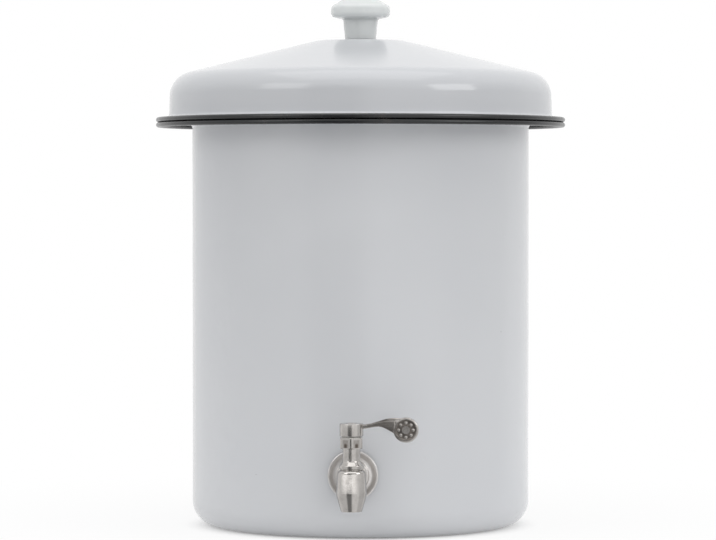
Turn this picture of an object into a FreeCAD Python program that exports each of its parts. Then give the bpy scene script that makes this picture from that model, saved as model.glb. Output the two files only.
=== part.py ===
import FreeCAD, Part
import Sketcher
import math
import os
import re
from FreeCAD import Placement, Rotation, Vector

# Gravity water filter with tap: an enamelled steel container with a wide flange,
# a clay filter pot that hangs in it by its lip, a loose domed lid with a knob,
# and a quarter-turn tap in the front of the wall.
# Millimetres, +Z up, the origin on the table at the middle of the base.
# The tap is on the -Y side and its lever points along +X when it is closed.

# Driving dimensions: alias, millimetres (degrees where the name ends in _angle), meaning
SIZES = [
    # Container
    ("body_radius", 145.0, "outside of the cylindrical wall"),
    ("container_height", 346.0, "table to the top of the flange"),
    ("container_wall", 1.2, "enamelled sheet of the container"),
    ("base_corner", 21.0, "outside radius between wall and base"),
    ("mouth_corner", 4.0, "outside radius between wall and flange"),
    ("flange_width", 31.0, "from the wall out to the edge of the rim"),
    ("rim_bead", 2.1, "radius of the rolled rims"),
    # Filter pot and the ring that it sits on
    ("seat_thickness", 3.0, "silicone seat ring"),
    ("seat_width", 9.0, "radial width of the seat ring"),
    ("seat_round", 1.0, "rounded edges of the seat ring"),
    ("seat_inset", 1.0, "from the bend of the mouth to the seat ring"),
    ("pot_gap", 6.0, "between the pot and the container wall"),
    ("pot_depth", 225.0, "underside of the lip to the bottom of the pot"),
    ("pot_taper", 28.0, "how much narrower the bottom of the pot is, on the radius"),
    ("pot_wall", 14.0, "clay wall"),
    ("pot_floor", 16.0, "clay floor"),
    ("pot_foot_round", 16.0, "outside of the pot's foot"),
    ("pot_well_round", 12.0, "inside of the pot's foot"),
    ("lip_thickness", 18.0, "height of the lip"),
    ("lip_gap", 3.0, "between the lip and the lid"),
    ("lip_round", 6.0, "upper edges of the lip"),
    ("lip_edge_round", 3.0, "lower edge of the lip"),
    # Lid
    ("lid_rest_gap", 0.2, "between the two rolled rims"),
    ("lid_wall", 1.1, "enamelled sheet of the lid"),
    ("lid_brim", 11.0, "from the side of the lid out to the edge of its rim"),
    ("lid_brim_corner", 2.6, "outside radius between side and brim"),
    ("lid_lean", 1.2, "how far the side leans in"),
    ("shoulder_rise", 39.0, "rim to the corner of the shoulder"),
    ("shoulder_round", 21.5, "outside radius of the shoulder"),
    ("lid_rise", 70.5, "rim to the flat top"),
    ("lid_top_radius", 37.0, "corner between cone and flat top"),
    ("lid_top_round", 40.0, "outside radius of that corner"),
    # Knob
    ("knob_gasket_thickness", 0.8, "between knob and lid"),
    ("knob_gasket_inset", 1.0, "gasket inside the knob's foot"),
    ("knob_foot_radius", 13.2, "where the knob meets the lid"),
    ("knob_neck_radius", 15.0, "under the head"),
    ("knob_neck_height", 17.6, "foot to the head"),
    ("knob_neck_fillet", 2.0, "inside corner between neck and head"),
    ("knob_flare_rise", 2.0, "underside of the head"),
    ("knob_head_radius", 25.4, "widest part of the head"),
    ("knob_edge_height", 8.9, "straight edge of the head"),
    ("knob_edge_round", 3.9, "both corners of that edge"),
    ("knob_crown_rise", 6.2, "edge of the head to its top"),
    ("knob_crown_radius", 15.0, "corner of the crown"),
    ("knob_crown_round", 9.0, "rounding of that corner"),
    ("knob_foot_round", 0.8, "foot of the knob"),
    ("knob_screw_radius", 2.5, "shank of the knob screw"),
    ("knob_screw_grip", 12.0, "length of the screw inside the knob"),
    ("knob_screw_head_radius", 5.0, "pan head"),
    ("knob_screw_head_height", 3.2, "pan head"),
    ("knob_screw_head_round", 1.4, "pan head"),
    ("knob_screw_cross", 7.0, "length of the cross slots"),
    ("knob_screw_end", 0.5, "chamfer and gap at the end of the screw"),
    ("knob_bore_room", 1.0, "hole in the knob beyond the insert"),
    ("knob_insert_wall", 1.6, "threaded insert in the knob"),
    ("knob_washer_radius", 10.0, "backing washer under the lid"),
    ("knob_washer_thickness", 1.2, "backing washer under the lid"),
    ("hole_clearance", 0.4, "around a screw or the shank, on the radius"),
    ("thread_clearance", 0.05, "between mating threads, on the radius"),
    # Tap at the wall
    ("tap_height", 54.0, "table to the axis of the shank"),
    ("tap_reach", 31.0, "wall to the axis of the valve"),
    ("shank_radius", 8.0, "threaded shank"),
    ("shank_tail", 16.5, "length of the shank behind the wall's outer face"),
    ("inlet_radius", 4.9, "water way through the shank"),
    ("thread_pitch", 1.5, "thread of the shank"),
    ("thread_depth", 0.7, "thread of the shank"),
    ("gasket_radius", 18.0, "both wall gaskets"),
    ("outer_gasket_thickness", 2.0, "at the middle of the gasket"),
    ("inner_gasket_thickness", 3.4, "at the middle of the gasket"),
    ("wall_flange_radius", 20.8, "dished disc behind the tap"),
    ("wall_flange_sheet", 1.4, "floor of the dish"),
    ("wall_flange_rim", 2.8, "height of the raised edge"),
    ("wall_flange_edge", 1.8, "width of the raised edge"),
    ("wall_flange_boss_radius", 12.5, "boss in the middle"),
    ("wall_flange_boss", 4.0, "height of the boss"),
    ("turned_edge", 0.5, "rounding of small turned and pressed edges"),
    ("cast_edge", 0.8, "rounding of cast edges"),
    ("fillet", 1.0, "small inside corners"),
    ("collar_radius", 11.0, "shoulder of the tap body"),
    ("collar_length", 2.6, "shoulder of the tap body"),
    ("barrel_radius", 8.8, "between collar and valve"),
    ("tap_washer_radius", 15.0, "backing washer inside the container"),
    ("tap_washer_thickness", 1.2, "backing washer inside the container"),
    ("lock_nut_flats", 24.0, "across the flats"),
    ("lock_nut_height", 6.0, "lock nut inside the container"),
    ("nut_chamfer", 0.8, "corners of both nuts"),
    ("overcut", 1.0, "how far a cut reaches past what it cuts"),
    # Tap valve and spout, heights from the axis of the shank
    ("spout_drop", 27.0, "down to the outlet"),
    ("spout_lip_radius", 8.6, "outside of the outlet"),
    ("spout_belly_radius", 12.6, "widest part of the spout"),
    ("spout_belly_drop", 13.5, "widest part below the axis"),
    ("spout_belly_round", 12.0, "rounding of the widest part"),
    ("spout_shoulder_width", 2.6, "shoulder of the belly, outside the groove above it"),
    ("spout_shoulder_drop", 1.2, "shoulder of the belly, below that groove"),
    ("spout_shoulder_round", 3.4, "rounding of the shoulder"),
    ("outlet_radius", 6.5, "bore of the outlet"),
    ("outlet_depth", 14.0, "length of that bore"),
    ("waist_radius", 8.8, "groove above the belly"),
    ("waist_height", 7.4, "groove above the belly"),
    ("waist_groove", 0.7, "height of that groove"),
    ("waist_bead_radius", 10.0, "ring above the groove"),
    ("waist_bead_height", 3.0, "ring above the groove"),
    ("neck_radius", 7.2, "neck under the gland nut"),
    ("neck_start", 14.0, "where the neck becomes straight"),
    ("neck_fillet", 2.5, "bend at that place"),
    ("neck_top", 30.5, "upper end of the neck"),
    ("chamber_radius", 5.1, "bore that the rotor turns in"),
    ("chamber_floor", 8.5, "depth of the chamber below the axis"),
    ("drain_radius", 3.6, "hole in the chamber's floor"),
    ("drain_cone", 1.5, "cone between that hole and the outlet"),
    # Rotor
    ("rotor_clearance", 0.1, "between rotor and chamber, on the radius"),
    ("end_clearance", 0.2, "between rotor, floor and gland nut"),
    ("rotor_bore", 3.4, "water way in the rotor"),
    ("rotor_bore_top", 4.8, "roof of that water way, above the axis"),
    ("window_radius", 3.2, "side window of the rotor"),
    ("ring_groove_depth", 1.3, "groove for an O-ring"),
    ("ring_groove_width", 1.7, "groove for an O-ring"),
    ("ring_section", 0.62, "radius of an O-ring's section"),
    ("first_ring_height", 9.0, "lower O-ring, above the axis"),
    ("ring_spacing", 6.0, "from one O-ring to the next"),
    ("lug_reach", 1.6, "stop lug beyond the rotor"),
    ("lug_half_width", 1.3, "stop lug"),
    ("lug_height", 3.0, "stop lug"),
    ("turn_angle", 90.0, "quarter turn between closed and open"),
    ("stop_angle", 16.2, "from the middle of the lug to the stop"),
    ("stem_radius", 3.45, "round part of the stem"),
    ("stem_square", 4.8, "across the flats of the square"),
    ("stem_top", 41.4, "upper end of the stem, above the axis"),
    ("seat_bore", 3.3, "hole in the valve seat"),
    ("seat_length", 5.0, "valve seat"),
    # Gland nut, washers and lever
    ("gland_flats", 18.0, "across the flats"),
    ("gland_corner_radius", 9.9, "turned corners of the hexagon"),
    ("gland_height", 9.4, "gland nut"),
    ("gland_roof", 3.0, "top of the gland nut"),
    ("slip_washer_thickness", 0.6, "nylon washer under the lever"),
    ("slip_washer_radius", 7.6, "nylon washer under the lever"),
    ("slip_gap", 0.1, "between washer and lever"),
    ("hub_radius", 9.7, "hub of the lever"),
    ("hub_height", 10.4, "hub of the lever"),
    ("hub_round", 0.8, "edges of the hub"),
    ("recess_radius", 4.6, "recess for the lever screw"),
    ("recess_depth", 3.2, "recess for the lever screw"),
    ("lever_screw_radius", 1.7, "shank of the lever screw"),
    ("lever_screw_length", 9.0, "shank of the lever screw"),
    ("lever_screw_head_radius", 3.7, "head of the lever screw"),
    ("lever_screw_head_height", 2.0, "head of the lever screw"),
    ("lever_washer_thickness", 0.8, "washer under that head"),
    ("lever_washer_radius", 4.2, "washer under that head"),
    ("arm_thickness", 4.8, "arm of the lever, front to back"),
    ("arm_depth", 4.6, "arm of the lever, top to bottom"),
    ("arm_bend_reach", 14.0, "hub axis to the hollow bend of the arm's top"),
    ("arm_bend_rise", 0.3, "that bend above the arm's top at the hub"),
    ("arm_bend_radius", 18.0, "that bend"),
    ("arm_crest_reach", 13.8, "round bend of the arm's top, before the middle of the paddle"),
    ("arm_crest_radius", 10.0, "that bend"),
    ("arm_arch_reach", 20.6, "arch under the arm, before the middle of the paddle"),
    ("arm_arch_depth", 1.2, "arch under the arm, below the arm's top at the hub"),
    ("arm_arch_radius", 12.0, "that arch"),
    ("arm_foot", 3.6, "end of the arm's lower edge, below the middle of the paddle"),
    ("paddle_reach", 44.3, "hub axis to the middle of the paddle"),
    ("paddle_drop", 4.4, "middle of the paddle below the arm's top at the hub"),
    ("paddle_radius", 10.3, "paddle"),
    ("paddle_inset", 0.5, "top of the arm below the top of the paddle"),
    ("paddle_thickness", 5.0, "rim of the paddle"),
    ("paddle_dish_radius", 8.4, "sunk face inside the paddle's rim"),
    ("paddle_dish_depth", 1.1, "sunk face inside the paddle's rim"),
    ("paddle_boss_radius", 3.2, "boss in the middle of the paddle"),
    ("petal_radius", 1.35, "raised dots around that boss"),
    ("petal_height", 0.75, "raised dots around that boss"),
    ("petal_circle", 5.9, "circle that the dots stand on"),
    ("slot_width", 1.2, "slots of the screws"),
    ("slot_depth", 1.2, "slots of the screws"),
]
PETALS = 8
STEM_RINGS = 2
# How far the thread's cutting profile stands out of the shank, as a share of the thread's depth
THREAD_OVERCUT = 0.3

doc = FreeCAD.newDocument("gravity_water_filter")
sheet = doc.addObject("Spreadsheet::Sheet", "Sizes")
for row, (alias, size, meaning) in enumerate(SIZES, start=1):
    sheet.set(f"A{row}", alias)
    sheet.set(f"B{row}", str(size))
    sheet.setAlias(f"B{row}", alias)
    sheet.set(f"C{row}", meaning)
doc.recompute()
ALIASES = {alias for alias, size, meaning in SIZES}
PARTS = []

# Places that several pieces share, as formulas of the sizes
RIM_RADIUS = "(body_radius + flange_width)"
SEAT_INNER = "(body_radius + mouth_corner + seat_inset)"
SEAT_TOP = "(container_height + seat_thickness)"
POT_TOP_RADIUS = "(body_radius - container_wall - pot_gap)"
POT_FOOT_RADIUS = f"({POT_TOP_RADIUS} - pot_taper)"
POT_BOTTOM = f"({SEAT_TOP} - pot_depth)"
LID_BASE = "(container_height + lid_rest_gap)"
LID_RADIUS = f"({RIM_RADIUS} - lid_brim)"
LIP_RADIUS = f"({LID_RADIUS} - lid_lean - lid_wall - lip_gap)"
BRIM_TOP = f"({LID_BASE} + 2 * rim_bead)"
SHOULDER_RADIUS = f"({LID_RADIUS} - lid_lean)"
SHOULDER_Z = f"({LID_BASE} + shoulder_rise)"
LID_TOP = f"({LID_BASE} + lid_rise)"
KNOB_BASE = f"({LID_TOP} + knob_gasket_thickness)"
WALL_FLANGE_FRONT = "(outer_gasket_thickness + wall_flange_boss)"
NUT_SEAT = "(container_wall + inner_gasket_thickness + tap_washer_thickness)"
ROTOR_RADIUS = "(chamber_radius - rotor_clearance)"
ROTOR_BOTTOM = "(end_clearance - chamber_floor)"
SHOULDER_TOP = "(neck_top - end_clearance)"
GLAND_TOP = "(neck_top + end_clearance + gland_roof)"
HUB_BOTTOM = f"({GLAND_TOP} + slip_washer_thickness + slip_gap)"
HUB_TOP = f"({HUB_BOTTOM} + hub_height)"
RECESS_FLOOR = f"({HUB_TOP} - recess_depth)"
ARM_TOP = f"({HUB_TOP} - hub_round)"
PADDLE_Z = f"({ARM_TOP} - paddle_drop)"
PADDLE_TOP = f"({PADDLE_Z} + paddle_radius - paddle_inset)"


# Formulas and placement

def formula(text):
    """The text as an expression: each alias gets the sheet's name."""
    return re.sub(r"[a-z_]+", lambda m: f"Sizes.{m[0]}" if m[0] in ALIASES else m[0], text)


def value(text):
    return float(sheet.evalExpression(formula(text)))


def bind(thing, prop, text):
    thing.setExpression(prop, formula(text))


def at_wall(thing):
    """The frame of the tap's shank: local +Z points straight out of the wall's outer face."""
    thing.Placement = Placement(Vector(0, 0, 0), Rotation(Vector(1, 0, 0), 90))
    bind(thing, "Placement.Base.y", "-body_radius")
    bind(thing, "Placement.Base.z", "tap_height")
    return thing


def at_valve(thing):
    """The frame of the valve: upright, its origin where the valve's and the shank's axes cross."""
    bind(thing, "Placement.Base.y", "-body_radius - tap_reach")
    bind(thing, "Placement.Base.z", "tap_height")
    return thing


def keep(thing, label):
    """Marks an object as a finished piece with its own file."""
    thing.Label = label
    PARTS.append(thing)
    return thing


# Sketches

def new_sketch(body, name, plane, lift="0"):
    """A sketch on one of the body's own planes, moved along that plane's normal by lift."""
    sketch = body.newObject("Sketcher::SketchObject", name)
    role = plane + "_Plane"
    sketch.AttachmentSupport = [(next(f for f in body.Origin.OriginFeatures if f.Role == role), "")]
    sketch.MapMode = "FlatFace"
    bind(sketch, ".AttachmentOffset.Base.z", lift)
    return sketch


def pin_point(sketch, geometry, end, x, y):
    """Fixes a point of the sketch at two formulas."""
    for kind, text in (("DistanceX", x), ("DistanceY", y)):
        number = sketch.addConstraint(
            Sketcher.Constraint(kind, -1, 1, geometry, end, value(text))
        )
        sketch.setExpression(f"Constraints[{number}]", formula(text))


def add_circle(sketch, x, y, radius):
    centre = Vector(value(x), value(y), 0)
    circle = sketch.addGeometry(Part.Circle(centre, Vector(0, 0, 1), value(radius)), False)
    pin_point(sketch, circle, 3, x, y)
    number = sketch.addConstraint(Sketcher.Constraint("Radius", circle, value(radius)))
    sketch.setExpression(f"Constraints[{number}]", formula(radius))


def rounding(before, corner, after, radius):
    """The arc that rounds a corner: its two ends in order, its centre, and whether it turns left."""
    back = (before - corner).normalize()
    ahead = (after - corner).normalize()
    half = back.getAngle(ahead) / 2
    reach = radius / math.tan(half)
    middle = corner + (back + ahead).normalize() * (radius / math.sin(half))
    left = (corner - before).cross(after - corner).z > 0
    return corner + back * reach, corner + ahead * reach, middle, left


def add_outline(sketch, corners):
    """A closed outline through corners given as formulas (x, y) or (x, y, rounding radius)."""
    points = [Vector(value(c[0]), value(c[1]), 0) for c in corners]
    count = len(corners)
    arcs = []
    for i, corner in enumerate(corners):
        if len(corner) == 3:
            arcs.append(
                rounding(points[i - 1], points[i], points[(i + 1) % count], value(corner[2]))
            )
        else:
            arcs.append(None)
    lines = []
    for i in range(count):
        j = (i + 1) % count
        start = arcs[i][1] if arcs[i] else points[i]
        end = arcs[j][0] if arcs[j] else points[j]
        lines.append(sketch.addGeometry(Part.LineSegment(start, end), False))
    for i, corner in enumerate(corners):
        before = lines[i - 1]
        after = lines[i]
        if arcs[i] is None:
            sketch.addConstraint(Sketcher.Constraint("Coincident", before, 2, after, 1))
            pin_point(sketch, after, 1, corner[0], corner[1])
            continue
        enter, leave, centre, left = arcs[i]
        first, last = (enter, leave) if left else (leave, enter)
        angles = [math.atan2(p.y - centre.y, p.x - centre.x) for p in (first, last)]
        circle = Part.Circle(centre, Vector(0, 0, 1), value(corner[2]))
        arc = sketch.addGeometry(Part.ArcOfCircle(circle, angles[0], angles[1]), False)
        mark = sketch.addGeometry(Part.Point(points[i]), True)
        pin_point(sketch, mark, 1, corner[0], corner[1])
        sketch.addConstraint(Sketcher.Constraint("PointOnObject", mark, 1, before))
        sketch.addConstraint(Sketcher.Constraint("PointOnObject", mark, 1, after))
        enter_end, leave_end = (1, 2) if left else (2, 1)
        sketch.addConstraint(Sketcher.Constraint("Tangent", before, 2, arc, enter_end))
        sketch.addConstraint(Sketcher.Constraint("Tangent", after, 1, arc, leave_end))
        number = sketch.addConstraint(Sketcher.Constraint("Radius", arc, value(corner[2])))
        sketch.setExpression(f"Constraints[{number}]", formula(corner[2]))


# Features

def new_body(label):
    return keep(doc.addObject("PartDesign::Body", label), label)


def turn(body, name, sketch, axis="V_Axis", cut=False):
    """A full turn of the sketch about its own vertical or horizontal axis."""
    kind = "PartDesign::Groove" if cut else "PartDesign::Revolution"
    feature = body.newObject(kind, name)
    feature.Profile = (sketch, [""])
    feature.ReferenceAxis = (sketch, [axis])
    feature.Angle = 360.0
    sketch.Visibility = False
    return feature


def turned(body, name, corners, plane="XZ", axis="V_Axis", cut=False):
    sketch = new_sketch(body, name + "_outline", plane)
    add_outline(sketch, corners)
    return turn(body, name, sketch, axis, cut)


def extruded(body, name, sketch, length, cut=False, symmetric=False, reverse=False):
    kind = "PartDesign::Pocket" if cut else "PartDesign::Pad"
    feature = body.newObject(kind, name)
    feature.Profile = (sketch, [""])
    feature.Midplane = symmetric
    feature.Reversed = reverse
    bind(feature, "Length", length)
    sketch.Visibility = False
    return feature


def hexagon(flats):
    """The corners of a hexagon, two of them on the X axis."""
    return [
        (f"{flats} / sqrt(3) * cos({60 * k} deg)", f"{flats} / sqrt(3) * sin({60 * k} deg)")
        for k in range(6)
    ]


def cylinder(name, radius, low, high):
    solid = doc.addObject("Part::Cylinder", name)
    bind(solid, "Radius", radius)
    bind(solid, "Height", f"{high} - ({low})")
    bind(solid, "Placement.Base.z", low)
    return solid


def joined(kind, name, base, tool):
    """A Part::Cut, Part::Common or Part::Fuse of two objects."""
    result = doc.addObject("Part::" + kind, name)
    result.Base = base
    result.Tool = tool
    return result


def washer(name, radius, hole, low, high):
    rod = cylinder(name + "_disc", radius, low, high)
    pin = cylinder(name + "_hole", hole, f"{low} - overcut", f"{high} + overcut")
    return joined("Cut", name + "_ring", rod, pin)


def wall_cylinder(name, radius):
    """A cylinder round the container's axis, in the frame of the shank."""
    solid = doc.addObject("Part::Cylinder", name)
    solid.Placement = Placement(Vector(0, 0, 0), Rotation(Vector(1, 0, 0), -90))
    bind(solid, "Radius", radius)
    bind(solid, "Height", "4 * gasket_radius")
    bind(solid, "Placement.Base.y", "-2 * gasket_radius")
    bind(solid, "Placement.Base.z", "-body_radius")
    return solid


# Container

def make_container_shell():
    body = new_body("container_shell")
    inner = "body_radius - container_wall"
    turned(body, "shell", [
        ("0", "0"),
        ("body_radius", "0", "base_corner"),
        ("body_radius", "container_height - container_wall", "mouth_corner"),
        (f"{RIM_RADIUS} - rim_bead", "container_height - container_wall"),
        (f"{RIM_RADIUS} - rim_bead", "container_height"),
        (inner, "container_height", "mouth_corner + container_wall"),
        (inner, "container_wall", "base_corner - container_wall"),
        ("0", "container_wall"),
    ])
    bead = new_sketch(body, "rim_section", "XZ")
    add_circle(bead, f"{RIM_RADIUS} - rim_bead", "container_height - rim_bead", "rim_bead")
    turn(body, "rolled_rim", bead)
    hole = new_sketch(body, "tap_hole_section", "XZ")
    add_circle(hole, "0", "tap_height", "shank_radius + hole_clearance")
    extruded(body, "tap_hole", hole, "body_radius + overcut", cut=True, reverse=True)


def make_seat_ring():
    body = new_body("filter_seat_ring")
    outer = f"{SEAT_INNER} + seat_width"
    turned(body, "ring", [
        (SEAT_INNER, "container_height"),
        (outer, "container_height"),
        (outer, SEAT_TOP, "seat_round"),
        (SEAT_INNER, SEAT_TOP, "seat_round"),
    ])


# Filter pot

def make_filter_pot():
    body = new_body("filter_pot")
    lip_top = f"{SEAT_TOP} + lip_thickness"
    turned(body, "pot", [
        ("0", POT_BOTTOM),
        (POT_FOOT_RADIUS, POT_BOTTOM, "pot_foot_round"),
        (POT_TOP_RADIUS, SEAT_TOP, "lip_edge_round"),
        (LIP_RADIUS, SEAT_TOP, "lip_edge_round"),
        (LIP_RADIUS, lip_top, "lip_round"),
        (f"{POT_TOP_RADIUS} - pot_wall", lip_top, "lip_round"),
        (f"{POT_FOOT_RADIUS} - pot_wall", f"{POT_BOTTOM} + pot_floor", "pot_well_round"),
        ("0", f"{POT_BOTTOM} + pot_floor"),
    ])


# Lid

def make_lid_shell():
    body = new_body("lid_shell")
    slope = f"((lid_rise - shoulder_rise) / ({SHOULDER_RADIUS} - lid_top_radius))"
    secant = f"sqrt(1 + {slope} ^ 2)"
    screw_hole = "knob_screw_radius + hole_clearance"
    edge = f"{RIM_RADIUS} - rim_bead"
    turned(body, "shell", [
        (edge, f"{BRIM_TOP} - lid_wall"),
        (edge, BRIM_TOP),
        (LID_RADIUS, BRIM_TOP, "lid_brim_corner"),
        (SHOULDER_RADIUS, SHOULDER_Z, "shoulder_round"),
        ("lid_top_radius", LID_TOP, "lid_top_round"),
        (screw_hole, LID_TOP),
        (screw_hole, f"{LID_TOP} - lid_wall"),
        (
            f"lid_top_radius - lid_wall * ({secant} - 1) / {slope}",
            f"{LID_TOP} - lid_wall",
            "lid_top_round - lid_wall",
        ),
        (
            f"{SHOULDER_RADIUS} - lid_wall",
            f"{SHOULDER_Z} + lid_wall * {slope} - lid_wall * {secant}",
            "shoulder_round - lid_wall",
        ),
        (f"{LID_RADIUS} - lid_wall", f"{BRIM_TOP} - lid_wall", "lid_brim_corner + lid_wall"),
    ])
    bead = new_sketch(body, "rim_section", "XZ")
    add_circle(bead, edge, f"{BRIM_TOP} - rim_bead", "rim_bead")
    turn(body, "rolled_rim", bead)


def make_knob():
    body = new_body("lid_knob")
    hole = "knob_screw_radius + thread_clearance + knob_insert_wall"
    depth = f"{KNOB_BASE} + knob_screw_grip + knob_bore_room"
    flare = f"{KNOB_BASE} + knob_neck_height + knob_flare_rise"
    crown = f"{flare} + knob_edge_height + knob_crown_rise"
    turned(body, "knob", [
        (hole, KNOB_BASE),
        ("knob_foot_radius", KNOB_BASE, "knob_foot_round"),
        ("knob_neck_radius", f"{KNOB_BASE} + knob_neck_height", "knob_neck_fillet"),
        ("knob_head_radius", flare, "knob_edge_round"),
        ("knob_head_radius", f"{flare} + knob_edge_height", "knob_edge_round"),
        ("knob_crown_radius", crown, "knob_crown_round"),
        ("0", crown),
        ("0", depth),
        (hole, depth),
    ])


def make_knob_fixings():
    screw_hole = "knob_screw_radius + hole_clearance"
    sheet_under = f"{LID_TOP} - lid_wall"
    washer_under = f"{sheet_under} - knob_washer_thickness"
    keep(washer("knob_gasket", "knob_foot_radius - knob_gasket_inset", screw_hole, LID_TOP, KNOB_BASE),
         "knob_gasket")
    keep(washer("knob_washer", "knob_washer_radius", screw_hole, washer_under, sheet_under),
         "knob_backing_washer")
    threaded = "knob_screw_radius + thread_clearance"
    keep(washer("knob_insert", f"{threaded} + knob_insert_wall", threaded, KNOB_BASE,
                f"{KNOB_BASE} + knob_screw_grip"), "knob_threaded_insert")
    body = new_body("knob_screw")
    head_under = f"{washer_under} - knob_screw_head_height"
    tip = f"{KNOB_BASE} + knob_screw_grip - knob_screw_end"
    turned(body, "screw", [
        ("0", head_under),
        ("knob_screw_head_radius", head_under, "knob_screw_head_round"),
        ("knob_screw_head_radius", washer_under),
        ("knob_screw_radius", washer_under),
        ("knob_screw_radius", tip, "knob_screw_end"),
        ("0", tip),
    ])
    crossing = (("slot_width", "knob_screw_cross"), ("knob_screw_cross", "slot_width"))
    for number, (wide, deep) in enumerate(crossing):
        slot = new_sketch(body, f"cross_{number}_outline", "XY", head_under)
        add_rectangle(slot, f"{wide} / 2", f"{deep} / 2")
        extruded(body, f"cross_{number}", slot, "slot_depth", cut=True, reverse=True)


def add_rectangle(sketch, half_x, half_y):
    add_outline(sketch, [
        (f"-({half_x})", f"-({half_y})"),
        (half_x, f"-({half_y})"),
        (half_x, half_y),
        (f"-({half_x})", half_y),
    ])


# Tap at the wall, in the frame of the shank

def make_wall_gaskets():
    hole = "shank_radius + hole_clearance"
    outer = washer("outer_gasket", "gasket_radius", hole, "-gasket_radius / 4", "outer_gasket_thickness")
    outer = joined("Cut", "outer_gasket_seat", outer, wall_cylinder("wall_outside", "body_radius"))
    keep(at_wall(outer), "tap_outer_gasket")
    back = "-container_wall - inner_gasket_thickness"
    inner = washer("inner_gasket", "gasket_radius", hole, back, "0")
    inside = wall_cylinder("wall_inside", "body_radius - container_wall")
    keep(at_wall(joined("Common", "inner_gasket_seat", inner, inside)), "tap_inner_gasket")
    plate = washer("tap_washer", "tap_washer_radius", hole, f"-{NUT_SEAT}", back)
    keep(at_wall(plate), "tap_backing_washer")


def make_wall_flange():
    body = at_wall(new_body("tap_wall_flange"))
    back = "outer_gasket_thickness"
    floor = f"{back} + wall_flange_sheet"
    rim = f"{back} + wall_flange_rim"
    hole = "shank_radius + hole_clearance"
    edge = "wall_flange_radius - wall_flange_edge"
    turned(body, "disc", [
        (hole, back),
        ("wall_flange_radius", back, "turned_edge"),
        ("wall_flange_radius", rim, "cast_edge"),
        (edge, rim, "turned_edge"),
        (f"{edge} - fillet", floor, "fillet"),
        ("wall_flange_boss_radius + fillet", floor, "fillet"),
        ("wall_flange_boss_radius", WALL_FLANGE_FRONT, "cast_edge"),
        (hole, WALL_FLANGE_FRONT),
    ])


def make_lock_nut():
    body = at_wall(new_body("tap_lock_nut"))
    low = f"-{NUT_SEAT} - lock_nut_height"
    section = new_sketch(body, "hexagon", "XY", low)
    add_outline(section, hexagon("lock_nut_flats"))
    add_circle(section, "0", "0", "shank_radius + thread_clearance")
    extruded(body, "nut", section, "lock_nut_height")
    corner = "lock_nut_flats / sqrt(3)"
    bevel = "2 * nut_chamfer"
    turned(body, "corner_bevel", [
        (f"{corner} - {bevel}", low),
        (f"{corner} + overcut", low),
        (f"{corner} + overcut", f"{low} + {bevel} + overcut"),
    ], cut=True)


# Tap body, in the frame of the valve

def make_tap_body():
    body = at_valve(new_body("tap_body"))
    bead_top = "waist_height + waist_bead_height"
    turned(body, "valve_housing", [
        ("0", "-spout_drop"),
        ("spout_lip_radius", "-spout_drop", "cast_edge"),
        ("spout_belly_radius", "-spout_belly_drop", "spout_belly_round"),
        (
            "waist_radius + spout_shoulder_width",
            "waist_height - spout_shoulder_drop",
            "spout_shoulder_round",
        ),
        ("waist_radius", "waist_height - waist_groove / 2"),
        ("waist_radius", "waist_height + waist_groove / 2"),
        ("waist_bead_radius", "waist_height + waist_groove", "turned_edge"),
        ("waist_bead_radius", bead_top, "cast_edge"),
        ("neck_radius", "neck_start", "neck_fillet"),
        ("neck_radius", "neck_top"),
        ("0", "neck_top"),
    ])
    shoulder = f"tap_reach - {WALL_FLANGE_FRONT}"
    tail = "tap_reach + shank_tail"
    turned(body, "barrel_and_shank", [
        ("0", "0"),
        ("0", "barrel_radius"),
        (f"{shoulder} - collar_length", "barrel_radius", "fillet"),
        (f"{shoulder} - collar_length", "collar_radius", "cast_edge"),
        (shoulder, "collar_radius"),
        (shoulder, "shank_radius"),
        (tail, "shank_radius", "turned_edge"),
        (tail, "0"),
    ], plane="YZ", axis="H_Axis")
    turned(body, "chamber_and_outlet", [
        ("0", "-spout_drop - overcut"),
        ("outlet_radius", "-spout_drop - overcut"),
        ("outlet_radius", "outlet_depth - spout_drop"),
        ("drain_radius", "outlet_depth - spout_drop + drain_cone"),
        ("drain_radius", "-chamber_floor"),
        ("chamber_radius", "-chamber_floor"),
        ("chamber_radius", "neck_top + overcut"),
        ("0", "neck_top + overcut"),
    ], cut=True)
    turned(body, "inlet", [
        ("0", "0"),
        ("0", "inlet_radius"),
        (f"{tail} + overcut", "inlet_radius"),
        (f"{tail} + overcut", "0"),
    ], plane="YZ", axis="H_Axis", cut=True)
    cut_shank_thread(body)
    notch = new_sketch(body, "stop_notch_outline", "XY", f"{SHOULDER_TOP} - lug_height - end_clearance")
    add_outline(notch, notch_outline())
    extruded(body, "stop_notch", notch, "lug_height + 2 * end_clearance + overcut", cut=True, reverse=True)


def cut_shank_thread(body):
    """Rings cut into the shank where the lock nut runs, one for each turn of the thread."""
    start = f"tap_reach + {NUT_SEAT} + thread_pitch / 2"
    flank = f"(thread_depth + {THREAD_OVERCUT} * thread_depth) / sqrt(3)"
    groove = turned(body, "thread_ring", [
        (f"{start} - {flank}", f"shank_radius + {THREAD_OVERCUT} * thread_depth"),
        (start, "shank_radius - thread_depth"),
        (f"{start} + {flank}", f"shank_radius + {THREAD_OVERCUT} * thread_depth"),
    ], plane="YZ", axis="H_Axis", cut=True)
    rows = body.newObject("PartDesign::LinearPattern", "thread_rings")
    rows.Originals = [groove]
    rows.Direction = (groove.Profile[0], ["H_Axis"])
    room = value(f"shank_tail - {NUT_SEAT} - thread_pitch")
    turns = int(room // value("thread_pitch")) + 1
    rows.Occurrences = turns
    bind(rows, "Length", f"thread_pitch * {turns - 1}")
    body.Tip = rows


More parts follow.
